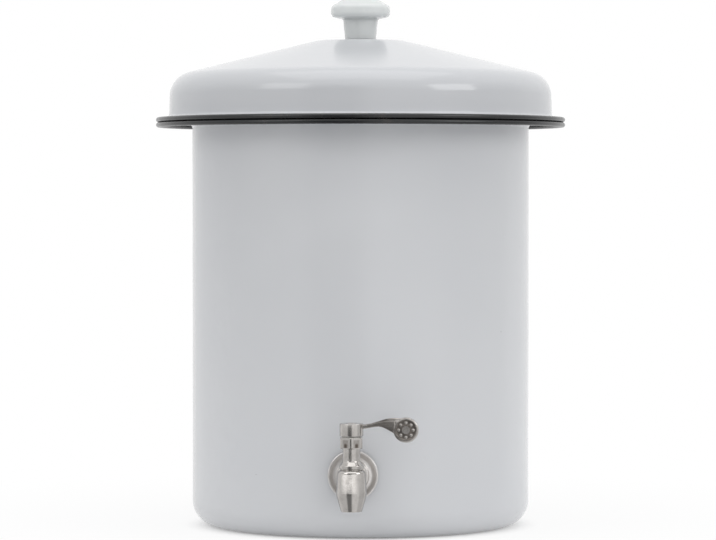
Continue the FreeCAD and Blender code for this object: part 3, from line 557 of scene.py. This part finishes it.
LOOKS = {
    "container_enamel": enamel_look("container_enamel", RIM_RADIUS - BLACK_BAND, WHITE, WHITE_THIN),
    "lid_enamel": enamel_look("lid_enamel", RIM_RADIUS - BLACK_BAND, LID_WHITE, LID_WHITE_THIN),
    "black_enamel": black_enamel_look(),
    "knob_white": plastic_look(
        "knob_white", (0.73, 0.745, 0.74, 1), (0.69, 0.71, 0.705, 1), 0.12, depth_mm=9
    ),
    "white_plastic": plastic_look(
        "white_plastic", (0.78, 0.78, 0.75, 1), (0.70, 0.70, 0.66, 1), 0.35, 0.02
    ),
    "chrome": metal_look("chrome", CHROME, CHROME_STAINED, CHROME_GLOSS, CHROME_SCRATCHES),
    "dull_chrome": metal_look(
        "dull_chrome", CHROME_DULL, CHROME_DULL_STAINED, 0.30, CHROME_SCRATCHES
    ),
    # The nut's and the lever's chrome carry painted shade
    "nut_chrome": metal_look(
        "nut_chrome", CHROME, CHROME_STAINED, CHROME_GLOSS, CHROME_SCRATCHES, painted_shade=nut_painted_shade
    ),
    "lever_chrome": metal_look(
        "lever_chrome", CHROME, CHROME_STAINED, CHROME_GLOSS, CHROME_SCRATCHES, painted_shade=lever_painted_shade
    ),
    "brass": metal_look("brass", (0.78, 0.57, 0.27, 1), (0.50, 0.34, 0.16, 1), 0.22, (0.4, 0.02)),
    "steel": metal_look(
        "steel", (0.60, 0.60, 0.61, 1), (0.44, 0.43, 0.42, 1), 0.25, (0.6, 0.02), (1, 0.1, 1)
    ),
    "fired_clay": clay_look(),
    "silicone": rubber_look("silicone", (0.74, 0.74, 0.72, 1), (0.66, 0.65, 0.62, 1)),
    "black_rubber": rubber_look("black_rubber", (0.018, 0.018, 0.019, 1), (0.04, 0.038, 0.036, 1)),
}


def dress(piece, look, body, slot, *replaced):
    """Gives a piece its material, the body it rides on and the nodes it stands for. The slot is not
    used.
    """
    piece.data.materials.clear()
    piece.data.materials.append(LOOKS[look])
    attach(piece, body)
    if replaced:
        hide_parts(*replaced)


# Container

def make_container():
    bead_centre = RIM_RADIUS - BEAD
    inner = WALL_RADIUS - SHEET
    corners = [
        (0, 0),
        (WALL_RADIUS, 0, BASE_CORNER),
        (WALL_RADIUS, CONTAINER_TOP - SHEET, MOUTH_CORNER),
        (bead_centre, CONTAINER_TOP - SHEET),
        (bead_centre, CONTAINER_TOP),
        (inner, CONTAINER_TOP, MOUTH_CORNER + SHEET),
        (inner, SHEET, BASE_CORNER - SHEET),
        (0, SHEET),
    ]
    waves = inward_wobble(ENAMEL_WAVES, 85, 1)
    shell = lathe("container_enamel", outline(corners, longest=12), 256, shape=waves)
    radius = SHANK_RADIUS + SHANK_CLEARANCE
    outside, inside = -8, 12
    drill = [(0, outside), (radius, outside), (radius, inside), (0, inside)]
    wall = Matrix.Translation(Vector((0, -WALL_RADIUS, TAP_HEIGHT))) @ ALONG_Y
    combine(shell, lathe("tap_hole", drill, 96, wall), "DIFFERENCE")
    dress(shell, "container_enamel", "container", "white_enamel", "container_shell")


def make_rim(name, top, body):
    """The rolled black edge of a sheet whose upper face is at top."""
    centre = Vector((RIM_RADIUS - BEAD, top - BEAD))
    steps = 28
    angles = [2 * math.pi * k / steps for k in range(steps)]
    section = [centre + Vector((math.cos(angle), math.sin(angle))) * BEAD for angle in angles]
    rim = lathe(name, section, 256, sharp_degrees=80)
    dress(rim, "black_enamel", body, "black_enamel")


# Filter pot

def make_pot():
    corners = [
        (0, POT_BOTTOM),
        (POT_FOOT_RADIUS, POT_BOTTOM, POT_FOOT_ROUND),
        (POT_RADIUS, POT_SEAT, POT_SEAT_ROUND),
        (POT_LIP_RADIUS, POT_SEAT, POT_SEAT_ROUND),
        (POT_LIP_RADIUS, POT_TOP, POT_LIP_ROUND),
        (POT_RADIUS - POT_WALL, POT_TOP, POT_LIP_ROUND),
        (POT_FOOT_RADIUS - POT_WALL, POT_BOTTOM + POT_FLOOR, POT_FLOOR_ROUND),
        (0, POT_BOTTOM + POT_FLOOR),
    ]
    waves = inward_wobble(CLAY_WAVES, 40, 3)
    pot = lathe("clay_pot", outline(corners, longest=4), 192, shape=waves)
    dress(pot, "fired_clay", "filter", "fired_clay", "filter_pot")


# Lid

def make_lid():
    """The lid's sheet, whose inner face runs at the same thickness under the sloping cone."""
    rise = (LID_TOP - SHOULDER_HEIGHT) / (SHOULDER_RADIUS - LID_FLAT_RADIUS)
    slant = math.hypot(1, rise)
    edge = RIM_RADIUS - BEAD
    inner_shoulder = SHOULDER_HEIGHT + LID_SHEET * (rise - slant)
    inner_flat = LID_FLAT_RADIUS - LID_SHEET * (slant - 1) / rise
    corners = [
        (edge, BRIM_TOP - LID_SHEET),
        (edge, BRIM_TOP),
        (LID_SIDE, BRIM_TOP, LID_FOOT_ROUND),
        (SHOULDER_RADIUS, SHOULDER_HEIGHT, SHOULDER_ROUND),
        (LID_FLAT_RADIUS, LID_TOP, CONE_ROUND),
        (SCREW_HOLE, LID_TOP),
        (SCREW_HOLE, LID_TOP - LID_SHEET),
        (inner_flat, LID_TOP - LID_SHEET, CONE_ROUND - LID_SHEET),
        (SHOULDER_RADIUS - LID_SHEET, inner_shoulder, SHOULDER_ROUND - LID_SHEET),
        (LID_SIDE - LID_SHEET, BRIM_TOP - LID_SHEET, LID_FOOT_ROUND + LID_SHEET),
    ]
    waves = inward_wobble(ENAMEL_WAVES, 70, 5)
    shell = lathe("lid_enamel", outline(corners, fine=3, longest=10), 256, shape=waves)
    dress(shell, "lid_enamel", "lid", "white_enamel", "lid_shell")


def make_knob():
    flare = KNOB_TOP - KNOB_CROWN - KNOB_EDGE
    corners = [
        (KNOB_HOLE, KNOB_BASE),
        (KNOB_FOOT_RADIUS, KNOB_BASE, 0.8),
        (KNOB_NECK_RADIUS, flare - 2.0, 2.0),
        (KNOB_RADIUS, flare, KNOB_EDGE_ROUND),
        (KNOB_RADIUS, flare + KNOB_EDGE, KNOB_EDGE_ROUND),
        (KNOB_CROWN_RADIUS, KNOB_TOP, KNOB_CROWN_ROUND),
        (0, KNOB_TOP),
        (0, KNOB_BASE + KNOB_HOLE_DEPTH),
        (KNOB_HOLE, KNOB_BASE + KNOB_HOLE_DEPTH),
    ]
    knob = lathe("knob_moulding", outline(corners), 160)
    dress(knob, "knob_white", "lid", "knob_white", "lid_knob")


# Tap

def make_wall_disc():
    """The dished disc behind the tap, hollow between its raised edge and its boss."""
    floor = FLANGE_BACK - FLANGE_SHEET
    rim = FLANGE_BACK - FLANGE_RIM
    hole = SHANK_RADIUS + SHANK_CLEARANCE
    edge = FLANGE_RADIUS - FLANGE_BEAD
    corners = [
        (hole, FLANGE_BACK),
        (FLANGE_RADIUS, FLANGE_BACK, 0.5),
        (FLANGE_RADIUS, rim, 0.9),
        (edge, rim, 0.5),
        (edge - 0.8, floor - 0.7, 0.4),
        (FLANGE_DISH_RADIUS, floor, 5.0),
        (FLANGE_BOSS_RADIUS, floor - 0.35, 0.8),
        (FLANGE_BOSS_TOP_RADIUS, FLANGE_FRONT, 0.8),
        (hole, FLANGE_FRONT),
    ]
    disc = lathe("tap_wall_disc", outline(corners, fine=6), 160, SHANK)
    dress(disc, "dull_chrome", "container", "chrome", "tap_wall_flange")


def housing_outline():
    """The upright part of the casting, from its chamber over the outlet's edge to the neck."""
    return [
        (0, CHAMBER_FLOOR),
        (CHAMBER_RADIUS, CHAMBER_FLOOR),
        (CHAMBER_RADIUS, OUTLET + OUTLET_DEPTH + 1.5),
        (OUTLET_BORE, OUTLET + OUTLET_DEPTH),
        (OUTLET_BORE, OUTLET, 0.5),
        (OUTLET_RADIUS, OUTLET, 0.7),
        (BELLY_RADIUS, BELLY_HEIGHT, BELLY_ROUND),
        (SHOULDER_STEP_RADIUS, SHOULDER_STEP_HEIGHT, SHOULDER_STEP_ROUND),
        (WAIST_RADIUS, 7.05, 0.2),
        (WAIST_RADIUS, 7.75, 0.2),
        (COLLAR_RADIUS, 8.1, 0.5),
        (COLLAR_RADIUS, 10.4, 0.8),
        (NECK_RADIUS, 14.0, 2.5),
        (NECK_RADIUS, NECK_TOP, 0.4),
        (0, NECK_TOP),
    ]


def barrel_outline():
    """The level part of the casting, with the thread of its shank."""
    corners = [
        (0, 2),
        (BARREL_RADIUS, 2),
        (BARREL_RADIUS, FLANGE_FRONT - BARREL_COLLAR, 1.0),
        (BARREL_COLLAR_RADIUS, FLANGE_FRONT - BARREL_COLLAR, 0.7),
        (BARREL_COLLAR_RADIUS, FLANGE_FRONT, 0.3),
        (SHANK_RADIUS, FLANGE_FRONT),
    ]
    for turn in range(THREAD_TURNS):
        middle = SHANK_END - THREAD_LENGTH + turn * THREAD_PITCH
        corners += [
            (SHANK_RADIUS, middle - THREAD_HALF),
            (SHANK_RADIUS - THREAD_DEPTH, middle),
            (SHANK_RADIUS, middle + THREAD_HALF),
        ]
    return corners + [
        (SHANK_RADIUS, SHANK_END, 0.6),
        (SHANK_BORE, SHANK_END, 0.4),
        (SHANK_BORE, SHANK_BORE_START),
        (0, SHANK_BORE_START),
    ]


def make_tap_casting():
    casting = lathe("tap_casting", outline(housing_outline(), fine=4), 160, VALVE)
    tube = lathe("tap_barrel", outline(barrel_outline(), fine=8), 128, SHANK)
    combine(casting, tube, "UNION")
    dress(casting, "chrome", "container", "chrome", "tap_body")


def make_gland_nut():
    """A hexagon with turned corners: a prism kept within a turned blank."""
    sides = 6
    work = bmesh.new()
    rings = []
    for z in (GLAND_LOW, GLAND_HIGH):
        ring = []
        for k in range(sides):
            angle = math.radians(90 + 360 / sides * k)
            spot = Vector((math.cos(angle), math.sin(angle), 0)) * GLAND_FLATS / math.sqrt(3)
            ring.append(work.verts.new((spot + Vector((0, VALVE_Y, z))) * MM))
        rings.append(ring)
        work.faces.new(ring)
    for k in range(sides):
        j = (k + 1) % sides
        work.faces.new((rings[0][k], rings[0][j], rings[1][j], rings[1][k]))
    bmesh.ops.recalc_face_normals(work, faces=work.faces)
    upright = [e for e in work.edges if abs(e.verts[0].co.z - e.verts[1].co.z) > MM]
    bmesh.ops.bevel(work, geom=upright, offset=0.35 * MM, segments=3, affect="EDGES")
    nut = object_from("gland_hexagon", work)
    low = GLAND_LOW - TAP_HEIGHT
    high = GLAND_HIGH - TAP_HEIGHT
    chamfer_radius = GLAND_TURNED_RADIUS - GLAND_CHAMFER
    blank = [
        (0, low),
        (chamfer_radius, low),
        (GLAND_TURNED_RADIUS, low + GLAND_CHAMFER),
        (GLAND_TURNED_RADIUS, high - GLAND_CHAMFER),
        (chamfer_radius, high),
        (CHAMBER_RADIUS, high, 0.3),
        (CHAMBER_RADIUS, high - GLAND_RECESS),
        (0, high - GLAND_RECESS),
    ]
    combine(nut, lathe("gland_blank", outline(blank), 128, VALVE), "INTERSECT")
    dress(nut, "nut_chrome", "container", "chrome", "tap_gland_nut")


def loft(name, sections):
    """A closed body through rings of points that are given in millimetres."""
    work = bmesh.new()
    rings = [[work.verts.new(point * MM) for point in section] for section in sections]
    for a, b in zip(rings, rings[1:]):
        for k in range(len(a)):
            j = (k + 1) % len(a)
            work.faces.new((a[k], a[j], b[j], b[k]))
    work.faces.new(rings[0])
    work.faces.new(rings[-1])
    return object_from(name, work)


def arm_section(x, low, high, half):
    """A ring of points round the lever's arm: a rounded rectangle square to X."""
    ring = []
    middle = (low + high) / 2
    for k in range(ARM_POINTS):
        angle = 2 * math.pi * k / ARM_POINTS
        flat = Vector((math.cos(angle), math.sin(angle)))
        powers = abs(flat.x) ** ARM_SQUARENESS + abs(flat.y) ** ARM_SQUARENESS
        spread = powers ** (-1 / ARM_SQUARENESS)
        across = VALVE_Y + flat.x * spread * half
        ring.append(Vector((x, across, middle + flat.y * spread * (high - low) / 2)))
    return ring


def make_hub():
    low = HUB_LOW - TAP_HEIGHT
    high = HUB_HIGH - TAP_HEIGHT
    corners = [
        (0, low + STEM_DEPTH),
        (STEM_RADIUS, low + STEM_DEPTH),
        (STEM_RADIUS, low, 0.3),
        (HUB_RADIUS, low, HUB_ROUND),
        (HUB_RADIUS, high, HUB_ROUND),
        (SCREW_RECESS_RADIUS, high, 0.4),
        (SCREW_RECESS_RADIUS, high - SCREW_RECESS_DEPTH),
        (0, high - SCREW_RECESS_DEPTH),
    ]
    return lathe("tap_handle", outline(corners, fine=8), 128, VALVE)


def make_arm():
    """The arm, which thins out past the hub and rises and widens into the paddle."""
    top = HUB_HIGH - HUB_ROUND
    # Distance along X, underside and upper side
    stations = [
        (5.0, top - 4.6, top),
        (10.0, top - 3.7, top + 0.1),
        (13.0, top - 3.1, top + 0.4),
        (16.0, top - 2.6, top + 0.9),
        (19.0, top - 2.1, top + 1.8),
        (22.0, top - 1.8, top + 2.7),
        (25.0, top - 2.2, top + 3.7),
        (28.0, top - 3.5, top + 4.6),
        (31.0, top - 5.2, top + 5.2),
        (34.5, top - 7.2, top + 5.4),
        (PADDLE_X, PADDLE_Z - 2.0, PADDLE_Z + 9.7),
    ]
    return loft("lever_arm", [arm_section(*station, ARM_HALF) for station in stations])


def make_paddle():
    corners = [
        (0, -PADDLE_HALF),
        (PADDLE_RADIUS, -PADDLE_HALF, 0.9),
        (PADDLE_RADIUS, PADDLE_HALF, 0.9),
        (0, PADDLE_HALF),
    ]
    return lathe("lever_paddle", outline(corners, fine=12), 128, PADDLE)


def make_dish(side):
    """What is cut out of one side, 1 or -1, of the paddle: a ring round its boss."""
    past_face = side * (PADDLE_HALF + 0.5)
    corners = [
        (PADDLE_BOSS + 0.5, side * PADDLE_FLOOR, 0.3),
        (PADDLE_DISH - 0.1, side * PADDLE_FLOOR, 0.3),
        (PADDLE_DISH + 0.2, past_face),
        (PADDLE_BOSS - 0.1, past_face),
    ]
    return lathe("lever_dish", outline(corners, fine=15), 96, PADDLE)


def make_dot(angle):
    """A stud through the paddle that stands proud of both sunk faces."""
    height = PADDLE_FLOOR + DOT_RISE
    spot = Vector((DOT_RING * math.cos(angle), DOT_RING * math.sin(angle), 0))
    corners = [
        (0, -height),
        (DOT_RADIUS, -height, 0.5),
        (DOT_RADIUS, height, 0.5),
        (0, height),
    ]
    return lathe("lever_dot", outline(corners, fine=15), 24, PADDLE @ Matrix.Translation(spot))


def make_lever():
    lever = make_hub()
    combine(lever, make_arm(), "UNION")
    combine(lever, make_paddle(), "UNION")
    for side in (-1, 1):
        combine(lever, make_dish(side), "DIFFERENCE")
    for k in range(DOTS):
        combine(lever, make_dot(2 * math.pi * k / DOTS), "UNION")
    dress(lever, "lever_chrome", "lever", "chrome", "tap_lever")


# CAD nodes that are shown as they are: node, look
KEPT_NODES = {
    "filter_seat_ring": "silicone",
    "knob_gasket": "silicone",
    "knob_threaded_insert": "brass",
    "knob_backing_washer": "steel",
    "knob_screw": "steel",
    "tap_outer_gasket": "black_rubber",
    "tap_inner_gasket": "silicone",
    "tap_backing_washer": "steel",
    "tap_lock_nut": "brass",
    "valve_inlet_seat": "white_plastic",
    "valve_rotor": "brass",
    "stem_o_rings": "black_rubber",
    "lever_slip_washer": "white_plastic",
    "lever_screw_washer": "steel",
    "lever_screw": "chrome",
}


def dress_kept_nodes():
    for node, look in KEPT_NODES.items():
        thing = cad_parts[node]
        thing.data.materials.clear()
        thing.data.materials.append(LOOKS[look])


# Studio

CAMERA_DISTANCE = 2.9
CAMERA_HEIGHT = 0.290
CAMERA_TURN = math.radians(2.4)
CAMERA_AIM = Vector((-0.0022, 0, 0.219))
CAMERA_LENS = 169.0
ROOM_LIGHT = 0.75
# What reflections show of the room, as lobes round a turn from -Y towards +X (degrees): the turn,
# the half width that is full, the half width where it ends, and the strength
PHOTOGRAPHER = (-14.0, 10.0, 26.0, 0.76)
DARK_LEFT = (-50.0, 25.0, 65.0, 0.21)
DARK_RIGHT = (90.0, 18.0, 36.0, 0.28)
WINDOW = (-20.0, 30.0, 80.0, 1.15)
# Heights in reflections where the window starts, where it ends and where all is white (degrees)
SILL = (-0.5, 1.5)
LINTEL = (3.2, 5.0)
CEILING = (25.0, 35.0)
# Softboxes, in metres: name, place, aim, width, height and brightness
SOFTBOXES = (
    ("top_light", (0, -0.25, 1.85), (0, 0, 0.3), 1.7, 1.4, 0.92),
    ("left_light", (-1.25, -1.25, 1.15), (0, 0, 0.22), 0.9, 0.7, 1.9),
    ("right_light", (1.50, -0.90, 0.98), (0, 0, 0.22), 0.9, 0.7, 2.9),
)
FLOOR_RADIUS = 8.0
FLOOR_DROP = 0.0002
FLOOR_NEAR = (0.88, 0.88, 0.88, 1)
FLOOR_FAR = (0.34, 0.34, 0.34, 1)
# Distances on the floor in millimetres over which it darkens, whitens, leaves the dark line
# under the object's edge and, measured from the tap, starts to show the dark places
FLOOR_DARKENS = (450, 900)
FLOOR_WHITENS = (150, 520)
FLOOR_LEAVES_EDGE = (122, 152)
FLOOR_LEAVES_TAP = (15, 40)
# The share of white that the floor shows next to the object, and in the line under its edge
WHITE_SHARE = 0.87
EDGE_SHARE = 0.30


def make_camera():
    camera = bpy.data.objects.new("camera", bpy.data.cameras.new("camera"))
    bpy.context.scene.collection.objects.link(camera)
    camera.location = Vector((
        CAMERA_DISTANCE * math.sin(CAMERA_TURN),
        -CAMERA_DISTANCE * math.cos(CAMERA_TURN),
        CAMERA_HEIGHT,
    ))
    camera.rotation_euler = (CAMERA_AIM - camera.location).to_track_quat("-Z", "Y").to_euler()
    camera.data.lens = CAMERA_LENS
    camera.data.sensor_width = 36
    camera.data.clip_end = 50
    bpy.context.scene.camera = camera


def softbox(name, place, target, width, height, radiance):
    """A rectangular area light with the given brightness, aimed at target (metres)."""
    lamp = bpy.data.lights.new(name, "AREA")
    lamp.shape = "RECTANGLE"
    lamp.size = width
    lamp.size_y = height
    lamp.energy = radiance * math.pi * width * height
    thing = bpy.data.objects.new(name, lamp)
    bpy.context.scene.collection.objects.link(thing)
    thing.location = place
    thing.rotation_euler = (Vector(target) - thing.location).to_track_quat("-Z", "Y").to_euler()


def make_world():
    """An even white room that also is the white background.

    Reflections show a low window in it, a photographer and two darker corners."""
    world = bpy.data.worlds.new("studio")
    bpy.context.scene.world = world
    world.use_nodes = True
    tree = world.node_tree
    room = tree.nodes.new("ShaderNodeBackground")
    room.inputs["Color"].default_value = (0.985, 0.99, 1.0, 1)
    room.inputs["Strength"].default_value = ROOM_LIGHT
    shown = tree.nodes["Background"]
    shown.inputs["Color"].default_value = (1, 1, 1, 1)
    direction = tree.nodes.new("ShaderNodeTexCoord").outputs["Generated"]
    tree.links.new(reflected_room(tree, direction), shown.inputs["Strength"])
    mix = tree.nodes.new("ShaderNodeMixShader")
    tree.links.new(seen_ray(tree), mix.inputs["Fac"])
    tree.links.new(room.outputs["Background"], mix.inputs[1])
    tree.links.new(shown.outputs["Background"], mix.inputs[2])
    tree.links.new(mix.outputs["Shader"], tree.nodes["World Output"].inputs["Surface"])


def smooth_between(tree, amount, low, high, strength=1.0):
    ramp = tree.nodes.new("ShaderNodeMapRange")
    ramp.interpolation_type = "SMOOTHSTEP"
    tree.links.new(amount, ramp.inputs["Value"])
    ramp.inputs["From Min"].default_value = low
    ramp.inputs["From Max"].default_value = high
    ramp.inputs["To Max"].default_value = strength
    return ramp.outputs["Result"]


def lobe(tree, flat_direction, turn, full, end, strength):
    """The strength within the full half width round the turn, and 0 beyond the end."""
    angle = math.radians(turn)
    middle = (math.sin(angle), -math.cos(angle), 0)
    towards = step(tree, "VectorMath", "DOT_PRODUCT", flat_direction, middle)
    return smooth_between(
        tree, towards, math.cos(math.radians(end)), math.cos(math.radians(full)), strength
    )


def blended(tree, first, second, share):
    gain = step(tree, "Math", "SUBTRACT", second, first)
    return step(tree, "Math", "ADD", first, step(tree, "Math", "MULTIPLY", gain, share))


def flat_part(tree, direction):
    flat = step(tree, "VectorMath", "MULTIPLY", direction, (1, 1, 0))
    return step(tree, "VectorMath", "NORMALIZE", flat)


def dark_places(tree, flat_direction):
    """1, and less towards the photographer and the dark corners."""
    level = 1.0
    for place in (PHOTOGRAPHER, DARK_LEFT, DARK_RIGHT):
        light = step(tree, "Math", "SUBTRACT", 1.0, lobe(tree, flat_direction, *place))
        level = step(tree, "Math", "MULTIPLY", level, light)
    return level


def in_reflections(tree, level):
    """The level in reflections, and 1 elsewhere."""
    glossy = tree.nodes.new("ShaderNodeLightPath").outputs["Is Glossy Ray"]
    return blended(tree, 1.0, level, glossy)


def reflected_room(tree, direction):
    """White, 1, but in reflections with dark places and a low window on one side."""
    flat = flat_part(tree, direction)
    unit = step(tree, "VectorMath", "NORMALIZE", direction)
    height = step(tree, "VectorMath", "DOT_PRODUCT", unit, (0, 0, 1))
    dark = dark_places(tree, flat)
    window = step(tree, "Math", "ADD", 1.0, lobe(tree, flat, *WINDOW))
    level = dark
    for edges, higher in ((SILL, window), (LINTEL, dark), (CEILING, 1.0)):
        low, high = (math.sin(math.radians(angle)) for angle in edges)
        level = blended(tree, level, higher, smooth_between(tree, height, low, high))
    return in_reflections(tree, level)


def seen_ray(tree):
    """1 for what the camera sees, straight, in a reflection or through glass, and otherwise 0."""
    path = tree.nodes.new("ShaderNodeLightPath")
    seen = path.outputs["Is Camera Ray"]
    for kind in ("Is Glossy Ray", "Is Transmission Ray"):
        seen = step(tree, "Math", "MAXIMUM", seen, path.outputs[kind])
    return seen


def make_floor():
    """A pale round floor that keeps the object's soft shadow and fades to white farther out.

    It throws less light back from farther out, as a white table in a darker room does."""
    work = bmesh.new()
    bmesh.ops.create_circle(work, cap_ends=True, segments=96, radius=FLOOR_RADIUS)
    floor = object_from("floor", work)
    floor.location.z = -FLOOR_DROP
    look = Look("floor", Roughness=0.7)
    tree = look.tree
    distance = look.axis_distance()
    beyond = look.between(distance, *FLOOR_DARKENS)
    look.put(look.shader, "Base Color", look.mixed(beyond, FLOOR_NEAR, FLOOR_FAR))
    from_tap = step(tree, "VectorMath", "SUBTRACT", look.place, (0, VALVE_Y * MM, 0))
    level = in_reflections(tree, dark_places(tree, flat_part(tree, from_tap)))
    away = look.sums("SQRT", step(tree, "VectorMath", "DOT_PRODUCT", from_tap, from_tap))
    away = look.between_mm(away, *FLOOR_LEAVES_TAP)
    dark = look.product(look.sums("SUBTRACT", 1.0, level), away)
    white = tree.nodes.new("ShaderNodeEmission")
    look.put(white, "Strength", look.sums("SUBTRACT", 1.0, dark))
    share = look.scaled(look.between(distance, *FLOOR_WHITENS), WHITE_SHARE, 1.0)
    edge = look.scaled(look.between(distance, *FLOOR_LEAVES_EDGE), EDGE_SHARE, 1.0)
    mix = tree.nodes.new("ShaderNodeMixShader")
    look.put(mix, "Fac", look.product(share, edge, seen_ray(tree)))
    look.put(mix, 1, look.shader.outputs["BSDF"])
    look.put(mix, 2, white.outputs["Emission"])
    look.put(tree.nodes["Material Output"], "Surface", mix.outputs["Shader"])
    floor.data.materials.append(look.material)


def make_studio():
    make_camera()
    make_world()
    make_floor()
    for box in SOFTBOXES:
        softbox(*box)


make_studio()
make_container()
make_rim("container_rim", CONTAINER_TOP, "container")
make_pot()
make_lid()
make_rim("lid_rim", BRIM_TOP, "lid")
make_knob()
make_wall_disc()
make_tap_casting()
make_gland_nut()
make_lever()
dress_kept_nodes()

bpy.context.scene.view_settings.view_transform = "Standard"
bpy.context.view_layer.update()
